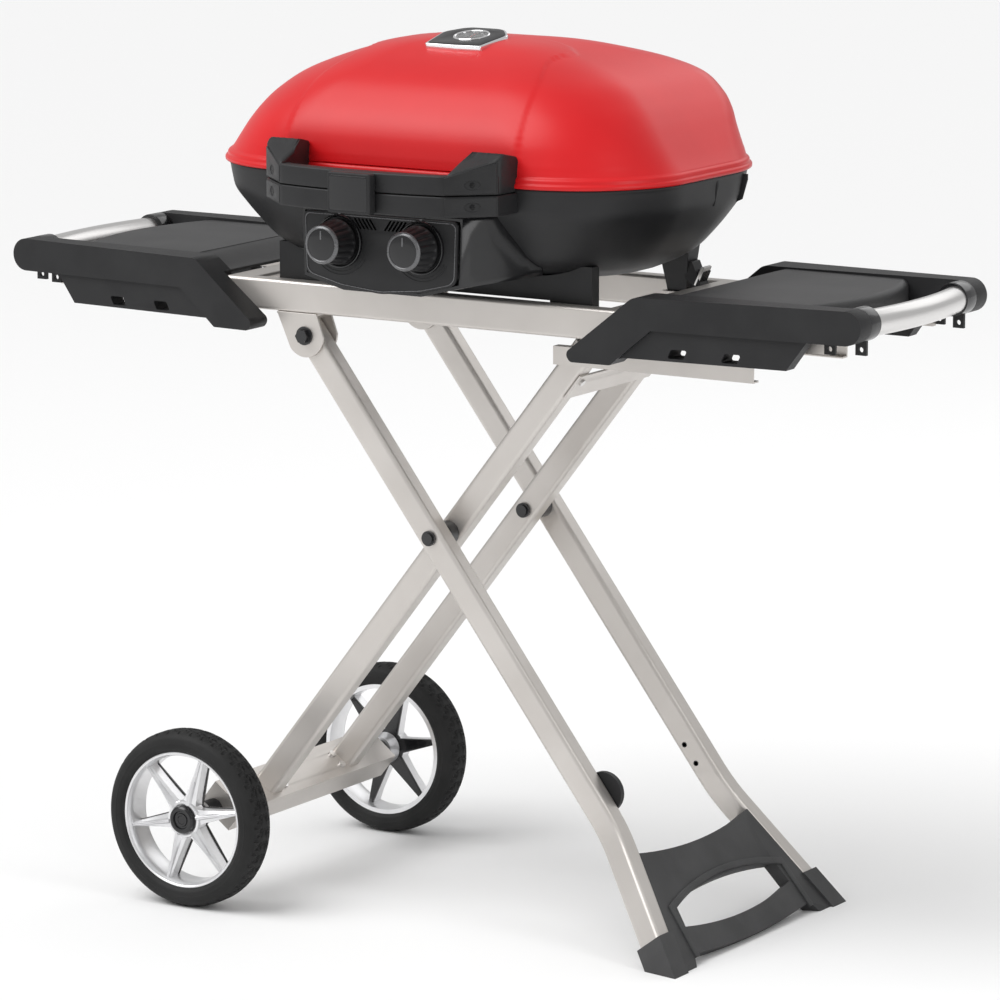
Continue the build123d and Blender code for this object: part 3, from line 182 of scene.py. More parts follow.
SLOT_LOOK = {
    "red_paint": RED, "black_paint": BLACK_PAINT, "frame_steel": FRAME_STEEL, "bright_steel": BRIGHT_STEEL,
    "silver_plastic": WHEEL_SILVER, "black_plastic": BLACK_PLASTIC, "grey_plastic": GREY_PLASTIC,
    "black_steel": BLACK_STEEL, "tyre": TYRE, "chrome": CHROME, "brass": BRASS, "cast_iron": IRON,
    "aluminium": ALU, "dial_black": DIAL, "glass": GLASS,
}
NODE_SLOT = {row["node"]: row["material_slot"] for row in frame["record"]["subparts"]}

# CAD nodes keep their own solids: they get the slot's look and, where listed, softened edges.
SOFT_EDGE = {"frame_brackets": 0.6, "front_stand": 1.5, "rear_feet": 1.5, "hinge_brackets": 0.8,
             "guide_channels": 0.4, "axle_channel": 0.5, "top_brace": 0.4, "grate_left": 1.2,
             "grate_right": 1.2, "frame_catches": 0.5, "gas_valves": 0.6, "grease_tray": 0.4,
             "panel_housing": 1.6, "foot_plate": 1.4, "shelf_panel_right": 0.8, "shelf_panel_left": 0.8,
             "shelf_cheek_right_front": 1.6, "shelf_cheek_right_rear": 1.6, "shelf_cheek_left_front": 1.6,
             "shelf_cheek_left_rear": 1.6}
NODE_LOOK = {"panel_housing": GLOSS_BLACK, "foot_plate": FOOT_PLASTIC,
             "shelf_cheek_right_front": CHEEK_PLASTIC, "shelf_cheek_right_rear": CHEEK_PLASTIC,
             "shelf_cheek_left_front": CHEEK_PLASTIC, "shelf_cheek_left_rear": CHEEK_PLASTIC}
for node, obj in frame["nodes"].items():
    obj.data.materials.clear()
    obj.data.materials.append(NODE_LOOK.get(node, SLOT_LOOK[NODE_SLOT[node]]))
    if node in SOFT_EDGE:
        weld = obj.modifiers.new("weld", "WELD")
        weld.merge_threshold = 0.00002
        soft = obj.modifiers.new("soft", "BEVEL")
        soft.width = SOFT_EDGE[node] * MM
        soft.segments = 2
        soft.limit_method = "ANGLE"
        soft.angle_limit = rad(35)
        soft.harden_normals = False


# ---------------------------------------------------------------- mesh helpers
def piece(name, mesh, mat, body, node=None, smooth=40.0):
    """Adds a finished mesh to the scene as a piece that rides on a body and may replace CAD nodes."""
    obj = bpy.data.objects.new(name, mesh)
    bpy.context.scene.collection.objects.link(obj)
    for one in mat if isinstance(mat, (list, tuple)) else [mat]:
        mesh.materials.append(one)
    if smooth is not None:
        mesh.shade_smooth()
        mesh.set_sharp_from_angle(angle=rad(smooth))
    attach(obj, body)
    if node:
        for one in node if isinstance(node, (list, tuple)) else [node]:
            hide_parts(one)
    return obj


def mesh_of(name, verts, faces):
    mesh = bpy.data.meshes.new(name)
    mesh.from_pydata([tuple(v) for v in verts], [], faces)
    mesh.validate()
    build = bmesh.new()
    build.from_mesh(mesh)
    bmesh.ops.recalc_face_normals(build, faces=build.faces)
    build.to_mesh(mesh)
    build.free()
    return mesh


def rings_mesh(name, rings, closed=True, cap_first=False, cap_last=False, joined=False):
    """Skins a list of rings (lists of points in millimetres) with quads."""
    verts, faces = [], []
    count = len(rings[0])
    for ring in rings:
        verts.extend(world(*p) for p in ring)
    rows = len(rings)
    for r in range(rows if joined else rows - 1):
        nxt = (r + 1) % rows
        for i in range(count if closed else count - 1):
            j = (i + 1) % count
            faces.append((r * count + i, r * count + j, nxt * count + j, nxt * count + i))
    if cap_first:
        faces.append(tuple(range(count))[::-1])
    if cap_last:
        faces.append(tuple((rows - 1) * count + i for i in range(count)))
    return mesh_of(name, verts, faces)


def rounded(points, radii, steps=6):
    """A closed polygon whose corners are rounded, as a list of 2-D points."""
    out, count = [], len(points)
    for i, corner in enumerate(points):
        radius = radii[i] if isinstance(radii, (list, tuple)) else radii
        here = Vector(corner)
        before = (Vector(points[i - 1]) - here)
        after = (Vector(points[(i + 1) % count]) - here)
        if radius <= 0:
            out.append(tuple(here))
            continue
        turn = before.angle(after)
        reach = min(radius / math.tan(turn / 2), before.length * 0.49, after.length * 0.49)
        start, end = here + before.normalized() * reach, here + after.normalized() * reach
        centre = here + (before.normalized() + after.normalized()).normalized() * (reach / math.cos(turn / 2))
        a0 = math.atan2(start[1] - centre[1], start[0] - centre[0])
        a1 = math.atan2(end[1] - centre[1], end[0] - centre[0])
        sweep = (a1 - a0 + math.pi) % (2 * math.pi) - math.pi
        size = (start - centre).length
        for k in range(steps + 1):
            angle = a0 + sweep * k / steps
            out.append((centre[0] + size * math.cos(angle), centre[1] + size * math.sin(angle)))
    return out


def arc_points(start, middle, end, steps):
    """Points on the circle through three 2-D points, start included, end left out."""
    (ax, ay), (bx, by), (cx, cy) = start, middle, end
    d = 2 * (ax * (by - cy) + bx * (cy - ay) + cx * (ay - by))
    aa, bb, cc = ax ** 2 + ay ** 2, bx ** 2 + by ** 2, cx ** 2 + cy ** 2
    ux = (aa * (by - cy) + bb * (cy - ay) + cc * (ay - by)) / d
    uy = (aa * (cx - bx) + bb * (ax - cx) + cc * (bx - ax)) / d
    r = math.hypot(ax - ux, ay - uy)
    a0, a1, am = (math.atan2(p[1] - uy, p[0] - ux) for p in (start, end, middle))
    sweep = (a1 - a0) % (2 * math.pi)
    if (am - a0) % (2 * math.pi) > sweep:
        sweep -= 2 * math.pi
    return [(ux + r * math.cos(a0 + sweep * k / steps), uy + r * math.sin(a0 + sweep * k / steps))
            for k in range(steps)]


def plate_mesh(name, loops, thick, bevel, to_space, segments=3):
    """An extruded outline with holes and rounded edges. The outline lies in a plane from 0 to thick,
    and to_space turns (a, b, height) in millimetres into a point of the frame."""
    curve = bpy.data.curves.new(name + "_curve", "CURVE")
    curve.dimensions = "2D"
    curve.fill_mode = "BOTH"
    for loop in loops:
        spline = curve.splines.new("POLY")
        spline.points.add(len(loop) - 1)
        for point, (a, b) in zip(spline.points, loop):
            point.co = (a, b, 0, 1)
        spline.use_cyclic_u = True
    curve.extrude = thick / 2 - bevel
    curve.bevel_depth = bevel
    curve.bevel_resolution = segments - 1
    curve.offset = -bevel
    holder = bpy.data.objects.new(name + "_curve", curve)
    bpy.context.scene.collection.objects.link(holder)
    graph = bpy.context.evaluated_depsgraph_get()
    mesh = bpy.data.meshes.new_from_object(holder.evaluated_get(graph))
    bpy.data.objects.remove(holder)
    bpy.data.curves.remove(curve)
    for vertex in mesh.vertices:
        a, b, h = vertex.co
        vertex.co = to_space(a, b, h + thick / 2)
    build = bmesh.new()
    build.from_mesh(mesh)
    bmesh.ops.remove_doubles(build, verts=build.verts, dist=0.00001)
    bmesh.ops.recalc_face_normals(build, faces=build.faces)
    build.to_mesh(mesh)
    build.free()
    mesh.name = name
    return mesh


def joined_mesh(name, meshes):
    """One mesh from several; each keeps its own order of material slots."""
    build = bmesh.new()
    for mesh in meshes:
        build.from_mesh(mesh)
    out = bpy.data.meshes.new(name)
    build.to_mesh(out)
    build.free()
    return out


def turned_mesh(name, profile, centre, axis, steps=64, closed=False):
    """A profile of (radius, height) turned about an axis through centre. axis is 'y-', 'y+' or 'z'."""
    verts, faces = [], []
    rows = len(profile)
    for k in range(steps):
        angle = 2 * math.pi * k / steps
        for radius, height in profile:
            a, b = radius * math.cos(angle), radius * math.sin(angle)
            if axis == "z":
                verts.append(world(centre[0] + a, centre[1] + b, centre[2] + height))
            else:
                way = -1 if axis == "y-" else 1
                verts.append(world(centre[0] + a, centre[1] + way * height, centre[2] + b))
    for k in range(steps):
        n = (k + 1) % steps
        for i in range(rows if closed else rows - 1):
            j = (i + 1) % rows
            faces.append((k * rows + i, k * rows + j, n * rows + j, n * rows + i))
    mesh = mesh_of(name, verts, faces)
    build = bmesh.new()
    build.from_mesh(mesh)
    bmesh.ops.remove_doubles(build, verts=build.verts, dist=0.000005)
    build.to_mesh(mesh)
    build.free()
    return mesh


def box_mesh(name, size, centre, bevel=0.0, turn=None):
    """A box of size (x, y, z) about centre, with bevelled edges, turned by an optional matrix."""
    build = bmesh.new()
    bmesh.ops.create_cube(build, size=1.0)
    for vert in build.verts:
        vert.co = Vector((vert.co.x * size[0], vert.co.y * size[1], vert.co.z * size[2]))
    if bevel:
        bmesh.ops.bevel(build, geom=build.edges[:], offset=bevel, segments=2, profile=0.5, affect="EDGES")
    for vert in build.verts:
        place = turn @ vert.co if turn else vert.co
        vert.co = world(centre[0] + place.x, centre[1] + place.y, centre[2] + place.z)
    mesh = bpy.data.meshes.new(name)
    build.to_mesh(mesh)
    build.free()
    return mesh


def mirrored_mesh(name, mesh, axis):
    """A copy mirrored in the cart's middle plane ('y') or end for end ('x')."""
    copy = mesh.copy()
    copy.name = name
    copy.materials.clear()
    for vertex in copy.vertices:
        if axis == "y":
            vertex.co.y = 2 * SHIFT_Y * MM - vertex.co.y
        else:
            vertex.co.x = -vertex.co.x
    copy.flip_normals()
    return copy


def smoothstep(low, high, value):
    t = min(max((value - low) / (high - low), 0.0), 1.0)
    return t * t * (3 - 2 * t)


def table_at(table, z):
    """Straight interpolation in a table of rows sorted by their first value."""
    if z <= table[0][0]:
        return table[0][1:]
    for low, high in zip(table, table[1:]):
        if z <= high[0]:
            t = (z - low[0]) / (high[0] - low[0])
            return [a + (b - a) * t for a, b in zip(low[1:], high[1:])]
    return table[-1][1:]


def smooth_table(table, steps):
    """A denser table by Catmull-Rom interpolation along the rows."""
    out = []
    for i in range(len(table) - 1):
        p0, p1, p2, p3 = (table[max(i - 1, 0)], table[i], table[i + 1], table[min(i + 2, len(table) - 1)])
        for k in range(steps):
            t = k / steps
            out.append([0.5 * (2 * b + (c - a) * t + (2 * a - 5 * b + 4 * c - d) * t * t
                               + (3 * b - a - 3 * c + d) * t ** 3) for a, b, c, d in zip(p0, p1, p2, p3)])
    out.append(list(table[-1]))
    return out


def dish_ring(z, half_x, front, rear, front_r, rear_r, corner=26, flat_x=60, flat_y=16):
    """Points of a rounded rectangle, evenly indexed so that rings can be skinned together."""
    ring = []

    def corner_arc(cx, cy, r, start):
        for k in range(corner):
            angle = rad(start + 90.0 * k / corner)
            ring.append((cx + r * math.cos(angle), cy + r * math.sin(angle), z))

    def straight(x0, y0, x1, y1, count):
        for k in range(count):
            ring.append((x0 + (x1 - x0) * k / count, y0 + (y1 - y0) * k / count, z))

    corner_arc(half_x - rear_r, rear - rear_r, rear_r, 0)
    straight(half_x - rear_r, rear, -half_x + rear_r, rear, flat_x)
    corner_arc(-half_x + rear_r, rear - rear_r, rear_r, 90)
    straight(-half_x, rear - rear_r, -half_x, -front + front_r, flat_y)
    corner_arc(-half_x + front_r, -front + front_r, front_r, 180)
    straight(-half_x + front_r, -front, half_x - front_r, -front, flat_x * 2)
    corner_arc(half_x - front_r, -front + front_r, front_r, 270)
    straight(half_x, -front + front_r, half_x, rear - rear_r, flat_y)
    return ring


# ---------------------------------------------------------------- lid
LID_BODY = [
    (856.5, 280.5, 182.0, 182.5, 130, 128), (862, 276.0, 181.6, 182.8, 129, 122),
    (870, 270.0, 180.6, 182.8, 127, 116), (888, 257.5, 176.6, 182.4, 124, 102),
    (905, 245.0, 168.8, 180.8, 121, 84), (922, 229.0, 156.0, 177.8, 114, 68),
    (941, 204.0, 136.0, 172.0, 104, 56), (956, 171.0, 111.0, 150.0, 86, 48),
    (969, 132.0, 81.0, 112.0, 62, 42), (978, 92.0, 54.0, 76.0, 42, 34), (983.2, 40.0, 24.0, 34.0, 20, 18),
]
CREASE = [(-182.0, 147.0), (-178.0, 148.5), (-166.0, 146.5), (-152.0, 144.0), (-132.0, 140.5),
          (-107.0, 134.0), (-80.0, 124.0), (-60.0, 120.0), (-40.0, 122.0), (-17.0, 125.0)]
CREASE_BACK = [(40.2, 5.4), (53.0, 10.0), (71.0, 11.3), (86.0, 8.4), (101.5, 4.3), (112.0, -2.4),
               (125.0, -17.0)]
FIELD_RAISE = 2.2


def crease_at(table, value):
    if value <= table[0][0]:
        return table[0][1]
    for (v0, w0), (v1, w1) in zip(table, table[1:]):
        if value <= v1:
            return w0 + (w1 - w0) * (value - v0) / (v1 - v0)
    return table[-1][1]


def raised_field(x, y):
    """How far a point of the lid belongs to the raised middle field between the creases, 0 to 1."""
    back = crease_at(CREASE_BACK, abs(x))
    side = crease_at(CREASE, y)
    inside_side = 1.0 - smoothstep(side - 1.6, side + 1.6, abs(x))
    inside_back = 1.0 - smoothstep(back - 2.0, back + 2.0, y)
    return inside_side * inside_back


def lid_rings(inset, low_z, drop):
    """Rings of the lid's wall from just above its flange to the crown."""
    rings = []
    for row in smooth_table(LID_BODY, 10):
        z, half_x, front, rear, front_r, rear_r = row
        ring = dish_ring(z, half_x - inset, front - inset, rear - inset, max(front_r - inset, 4),
                         max(rear_r - inset, 4), corner=52)
        if inset == 0:
            lifted = []
            for x, y, _ in ring:
                lift = FIELD_RAISE * raised_field(x, y)
                length = math.hypot(x, y) or 1.0
                slope = smoothstep(930, 975, z)
                lifted.append((x + lift * (1 - slope) * x / length * 0.4,
                               y + lift * (1 - slope) * y / length, z + lift * slope))
            ring = lifted
        else:
            ring = [(x, y, z - drop * smoothstep(low_z, low_z + 40, z)) for x, y, _ in ring]
        rings.append(ring)
    return rings


def flange_ring(inset, z):
    return dish_ring(z, 287.0 - inset, 188.0 - inset, 188.0 - inset, 132.0 - inset, 132.0 - inset,
                     corner=52)


FLANGE_PROFILE = [(4.5, 843.6), (1.0, 843.2), (0.2, 843.9), (0.0, 845.5), (0.1, 847.2), (0.8, 848.3),
                  (2.2, 848.9),
                  (2.7, 849.5), (2.8, 851.0), (3.0, 852.4), (3.7, 853.7), (4.8, 854.6), (5.6, 855.0),
                  (6.1, 855.6)]
outer = [flange_ring(inset, z) for inset, z in FLANGE_PROFILE]
inner = lid_rings(3.0, 856.0, 1.5)
lid_skin = [flange_ring(9.0, 843.8)] + outer + lid_rings(0.0, 0, 0)
inner_skin = [flange_ring(9.0, 843.8), flange_ring(9.2, 850.0)] + inner
lid_mesh = joined_mesh("lid_shell_visual", [
    rings_mesh("lid_outer", lid_skin, cap_last=True), rings_mesh("lid_inner", inner_skin, cap_last=True)])
lid_build = bmesh.new()
lid_build.from_mesh(lid_mesh)
bmesh.ops.remove_doubles(lid_build, verts=lid_build.verts, dist=0.00001)
bmesh.ops.recalc_face_normals(lid_build, faces=lid_build.faces)
lid_build.to_mesh(lid_mesh)
lid_build.free()
HINGE_X, HINGE_Y, HINGE_Z = 150, 197, 849
ALONG_X = Matrix.Rotation(math.pi / 2, 4, "Y")
knuckles = []
for side in (-1, 1):
    knuckle = turned_mesh("knuckle", [(3.2, -12), (7.0, -12), (7.0, 12), (3.2, 12)], (0, 0, 0), "z",
                          steps=32, closed=True)
    for vertex in knuckle.vertices:
        local = Vector((vertex.co.x, vertex.co.y - SHIFT_Y * MM, vertex.co.z))
        vertex.co = ALONG_X @ local + world(side * HINGE_X, HINGE_Y, HINGE_Z)
    knuckles.append(knuckle)
    knuckles.append(box_mesh("knuckle_web", (24, 9, 9), (side * HINGE_X, 188.5, 849.6), bevel=1.2))
piece("lid_shell_red", joined_mesh("lid_shell_red", [lid_mesh] + knuckles), RED, "lid", "lid_shell",
      smooth=50)

# ---------------------------------------------------------------- thermometer bezel on the crown
BEZEL_TILT = rad(9.5)


def bezel_space(a, b, h):
    """A point over the bezel's tilted plane: a across, b backwards, h up."""
    y = -33 + b * math.cos(BEZEL_TILT) - h * math.sin(BEZEL_TILT)
    z = 986.5 + b * math.sin(BEZEL_TILT) + h * math.cos(BEZEL_TILT)
    return world(a, y, z)


def crown_height(x, y):
    """Height of the lid's outer surface over a point near the crown."""
    for row in reversed(smooth_table(LID_BODY, 10)):
        z, half_x, front, rear, front_r, rear_r = row
        reach, corner = (front, front_r) if y < 0 else (rear, rear_r)
        out_x = abs(x) - (half_x - corner)
        out_y = abs(y) - (reach - corner)
        if out_x > corner or out_y > corner:
            continue
        if out_x <= 0 or out_y <= 0 or math.hypot(out_x, out_y) <= corner:
            return z
    return LID_BODY[0][0]


def trimmed_to_lid(mesh):
    """Lifts the low vertices of a fitting so that it ends inside the lid's skin."""
    for vertex in mesh.vertices:
        x, y, z = vertex.co.x / MM, vertex.co.y / MM - SHIFT_Y, vertex.co.z / MM
        vertex.co.z = max(z, crown_height(x, y) - 0.8) * MM
    return mesh


def bezel_outline(grow):
    points = [(-36 - grow, -41 - grow), (0, -42.5 - grow), (36 + grow, -41 - grow), (42.5 + grow, 8),
              (24 + grow * 0.5, 33 + grow), (-24 - grow * 0.5, 33 + grow), (-42.5 - grow, 8)]
    return rounded(points, [3, 60, 3, 14, 22, 22, 14], steps=8)


def circle_points(radius, steps=64, centre=(0, 0), start=0.0):
    return [(centre[0] + radius * math.cos(start + 2 * math.pi * k / steps),
             centre[1] + radius * math.sin(start + 2 * math.pi * k / steps)) for k in range(steps)]


bezel_body = plate_mesh("bezel", [bezel_outline(0), circle_points(18.5)], 16.0, 1.3,
                        lambda a, b, h: bezel_space(a, b, h - 15.8))
piece("thermometer_bezel_chrome", trimmed_to_lid(bezel_body), CHROME, "lid", "thermometer_bezel")
piece("thermometer_face_black", plate_mesh("bezel_face", [bezel_outline(-2.6), circle_points(21.0)], 0.8,
                                           0.3, lambda a, b, h: bezel_space(a, b, h - 0.1)), DIAL, "lid")
ring_profile = [(18.2, -1.5), (18.2, 0.6), (18.8, 1.3), (19.8, 1.5), (20.6, 1.0), (21.0, 0.2), (21.0, -1.5)]


def bezel_turned(name, profile, steps=64, closed=True):
    mesh = turned_mesh(name, profile, (0, -SHIFT_Y, 0), "z", steps=steps, closed=closed)
    for vertex in mesh.vertices:
        vertex.co = bezel_space(vertex.co.x / MM, vertex.co.y / MM, vertex.co.z / MM)
    return mesh


piece("thermometer_ring_chrome", bezel_turned("gauge_ring", ring_profile), CHROME, "lid")
piece("thermometer_dial", bezel_turned("dial_plate", [(0, -2.2), (18.4, -2.2), (18.4, -1.6), (0, -1.6)],
                                       closed=False), DIAL, "lid", "gauge_dial")
marks = []
for k in range(13):
    angle = rad(-30 + 20 * k)
    length = 4.0 if k % 3 == 0 else 2.4
    mid = 15.6 - length / 2
    mark = box_mesh("mark", (0.55, length, 0.12), (0, 0, 0))
    for vertex in mark.vertices:
        a = vertex.co.x / MM
        b = vertex.co.y / MM - SHIFT_Y + mid
        h = vertex.co.z / MM - 1.5
        ca, sa = math.cos(angle), math.sin(angle)
        vertex.co = bezel_space(b * ca - a * sa, b * sa + a * ca, h)
    marks.append(mark)
piece("thermometer_marks", joined_mesh("marks", marks), WHITE_INK, "lid", smooth=None)
needle = mesh_of("needle", [bezel_space(*p) for p in ((-0.9, -3.5, -1.2), (0.9, -3.5, -1.2),
                                                      (0.25, 13, -1.2),
                                                      (-0.25, 13, -1.2), (-0.9, -3.5, -0.9),
                                                      (0.9, -3.5, -0.9),
                                                      (0.25, 13, -0.9), (-0.25, 13, -0.9))],
                 [(0, 3, 2, 1), (4, 5, 6, 7), (0, 1, 5, 4), (1, 2, 6, 5), (2, 3, 7, 6), (3, 0, 4, 7)])
piece("thermometer_needle", needle, RED_INK, "lid", smooth=None)
piece("thermometer_glass", bezel_turned("glass", [(0, -0.4), (18.1, -0.4), (18.1, 0.1), (0, 0.4)],
                                        closed=False),
      GLASS, "lid", "gauge_glass")

# ---------------------------------------------------------------- cook box
BOWL = [(736.2, 200, 104, 104, 88, 88), (741.0, 211, 113.5, 113.5, 93, 93), (748, 225, 127, 127, 99, 99),
        (760, 239.5, 141.5, 141.5, 105, 105), (780, 257, 156.5, 156.5, 116, 116),
        (796, 268, 168.5, 168.5, 123, 123),
        (812, 277, 179, 179, 128, 128), (826, 280.2, 181.8, 181.8, 129, 129),
        (838.5, 282.2, 183.4, 183.4, 130, 130)]
bowl_outer = [dish_ring(*row) for row in smooth_table(BOWL, 5)]
bowl_rim = [dish_ring(z, 283 - i, 184 - i, 184 - i, 130 - i, 130 - i)
            for z, i in ((840.2, 0.2), (841.6, 0.1), (842.5, 0.6), (842.6, 3.4), (842.0, 4.0))]
bowl_inner = [dish_ring(row[0] + (3.0 if row[0] < 745 else 0), row[1] - 4, row[2] - 4, row[3] - 4,
                        row[4] - 4, row[5] - 4) for row in reversed(smooth_table(BOWL, 3))]
outlet = dish_ring(736.2, 54, 34, 34, 6, 6)
outlet_top = dish_ring(739.2, 54, 34, 34, 6, 6)
bowl_mesh = rings_mesh("cook_box_visual", [outlet] + bowl_outer + bowl_rim + bowl_inner + [outlet_top],
                       joined=True)
extras = []
for side in (-1, 1):
    # small gussets below the rim near the rear corners
    for theta in (-14.0, 16.0):
        foot_x, foot_y = 153 + 128 * math.cos(rad(theta)), 54 + 128 * math.sin(rad(theta))
        gusset = [(-9, 838), (5.5, 838), (5.5, 832), (-0.5, 810), (-9, 806)]

        def on_corner(a, b, h, s=side, t=theta, fx=foot_x, fy=foot_y):
            ca, sa = math.cos(rad(t)), math.sin(rad(t))
            return world(s * (fx + a * ca - (h - 2) * sa), fy + a * sa + (h - 2) * ca, b)

        extras.append(plate_mesh("gusset", [gusset], 4.0, 0.8, on_corner))
piece("cook_box_black", joined_mesh("cook_box", [bowl_mesh] + extras), BLACK_PAINT, "frame_and_box",
      "base_bowl",
      smooth=50)

# ---------------------------------------------------------------- wheels
WHEEL_X, WHEEL_Z = -267.5, 101.6
RIM_R = 78.6
HUB = (WHEEL_X, 0, WHEEL_Z)
rim_profile = [(RIM_R, 190), (RIM_R, 224.2), (RIM_R - 0.7, 225.3), (76.6, 225.5), (75.4, 224.8),
               (74.6, 222.4), (73.4, 220.8), (72.6, 214), (72.3, 198), (73.6, 190)]
hub_profile = [(4.4, 187.2), (15, 187.2), (20, 204), (21.5, 206), (21.5, 219.6), (20.6, 221.2),
               (18.6, 221.9), (17.3, 221.4), (17.3, 216), (4.4, 216)]


def spoke_mesh(turn):
    """One ridged spoke of the star, from the hub to the rim."""
    rings = []
    for step in range(9):
        t = step / 8
        radius = 18.5 + 54.5 * t
        half = 9.0 - 6.6 * t ** 0.75
        ridge = 224.2 - 3.0 * t
        edge = 217.5 - 1.0 * t
        section = [(-half, 204), (-half, edge), (-half * 0.45, edge + 1.6), (-1.5, ridge - 0.6),
                   (-0.9, ridge),
                   (0, ridge - 1.2), (0.9, ridge), (1.5, ridge - 0.6), (half * 0.45, edge + 1.6),
                   (half, edge), (half, 204)]
        ring = []
        for across, depth in section:
            ca, sa = math.cos(rad(turn)), math.sin(rad(turn))
            ring.append((WHEEL_X + radius * ca - across * sa, -depth, WHEEL_Z + radius * sa + across * ca))
        rings.append(ring)
    return rings_mesh("spoke", rings, cap_first=True, cap_last=True)


front_wheel = joined_mesh("wheel", [turned_mesh("rim", rim_profile, HUB, "y-", steps=96, closed=True),
                                    turned_mesh("hub", hub_profile, HUB, "y-", steps=64, closed=True)]
                          + [spoke_mesh(12 + 60 * number) for number in range(6)])


def tyre_mesh():
    """Tyre with long chevron grooves across the tread."""
    low, high = 186.6, 229.0
    middle = (low + high) / 2
    profile = [(RIM_R, 190), (RIM_R, 225.4), (80.4, 226.6), (81.6, 228.0), (84, 228.9), (87.0, 228.5),
               (88.2, 229.0),
               (89.6, 228.6), (93.5, 228.2), (96.2, 226.4), (98.6, 223.6), (100.2, 220.6), (101.2, 217)]
    profile += [(101.6, 214 - 2.0 * k) for k in range(7)]
    profile += [(r, 2 * middle - h) for r, h in reversed(profile[1:])]
    profile = [(r, h) for n, (r, h) in enumerate(profile) if n == 0 or (r, h) != profile[n - 1]]
    grooves, per = 40, 16
    steps = grooves * per
    verts, faces = [], []
    for k in range(steps):
        angle = 2 * math.pi * k / steps
        for radius, height in profile:
            depth = 0.0
            if radius > 99.8:
                phase = (k / per + abs(height - middle) / 10.0) % 1.0
                depth = 1.9 * (1 - smoothstep(0.08, 0.15, abs(phase - 0.5)))
                if abs(height - middle) < 1.2:
                    depth = max(depth, 1.0)
            r = radius - depth
            verts.append(world(WHEEL_X + r * math.cos(angle), -height, WHEEL_Z + r * math.sin(angle)))
    rows = len(profile)
    for k in range(steps):
        n = (k + 1) % steps
        for i in range(rows):
            j = (i + 1) % rows
            faces.append((k * rows + i, k * rows + j, n * rows + j, n * rows + i))
    return mesh_of("tyre", verts, faces)


cap_profile = [(0, 224.3), (4.6, 224.3), (5.2, 225.2), (7.2, 225.2), (7.8, 224.1), (9.6, 224.1),
               (10.6, 226.2), (13.2, 226.5), (15.4, 225.2), (16.5, 223.0), (16.5, 221.6), (0, 221.6)]
# dark plates behind the spokes and hub, painted as the shade inside their hollow backs
hollow_shade_plates = [turned_mesh("hub_hollow_shade", [(4.4, 200.2), (20.6, 200.2), (22.0, 202.5), (22.0, 204.6),
                                      (4.4, 204.6)],
                         HUB, "y-", steps=48, closed=True)]
for number in range(6):
    turn = rad(12 + 60 * number)
    rib = rounded([(16, -9.6), (74, -2.6), (74, 2.6), (16, 9.6)], 0.6, 3)

    def behind(a, b, h, t=turn):
        return world(WHEEL_X + a * math.cos(t) - b * math.sin(t), -(200.4 + h),
                     WHEEL_Z + a * math.sin(t) + b * math.cos(t))

    hollow_shade_plates.append(plate_mesh("spoke_shade_plate", [rib], 3.8, 0.6, behind))
front_hollow_shade = joined_mesh("spoke_hollow_shade", hollow_shade_plates)
front_tyre = tyre_mesh()
front_cap = turned_mesh("hub_cap", cap_profile, HUB, "y-", steps=64)
for end, flip in (("front", False), ("rear", True)):
    for label, mesh, mat, slot in (("wheel", front_wheel, WHEEL_SILVER, "silver_plastic"),
                                   ("tyre", front_tyre, TYRE, "tyre"),
                                   ("hub_cap", front_cap, GLOSS_BLACK, "black_plastic")):
        own = mirrored_mesh(label, mesh, "y") if flip else mesh.copy()
        piece(label + "_" + end + "_visual", own, mat, end + "_wheel", label + "_" + end, smooth=32)
    # dark plates painted as the shade in the hollow spoke and hub backs, one set per wheel
    own = mirrored_mesh("backs", front_hollow_shade, "y") if flip else front_hollow_shade.copy()
    piece("spoke_hollow_shade_" + end, own, GLOSS_BLACK, end + "_wheel", smooth=32)

# ---------------------------------------------------------------- control panel
KNOB_X, KNOB_Z = 52.5, 776.0
PANEL_Y = -220.0
PANEL_CORNERS = [(99.2, 807.0), (97.0, 738.0), (52.0, 726.5), (0.0, 721.5), (-52.0, 726.5), (-97.0, 738.0),
                 (-99.2, 807.0)]


def panel_outline(inset):
    scale_x, scale_z = (99.2 - inset) / 99.2, (43.0 - inset) / 43.0
    moved = [(x * scale_x, 764.0 + (z - 764.0) * scale_z) for x, z in PANEL_CORNERS]
    return rounded(moved, [6, 12, 60, 60, 60, 12, 6], steps=8)


def on_panel(a, b, h):
    return world(a, PANEL_Y + 4 - h, b)


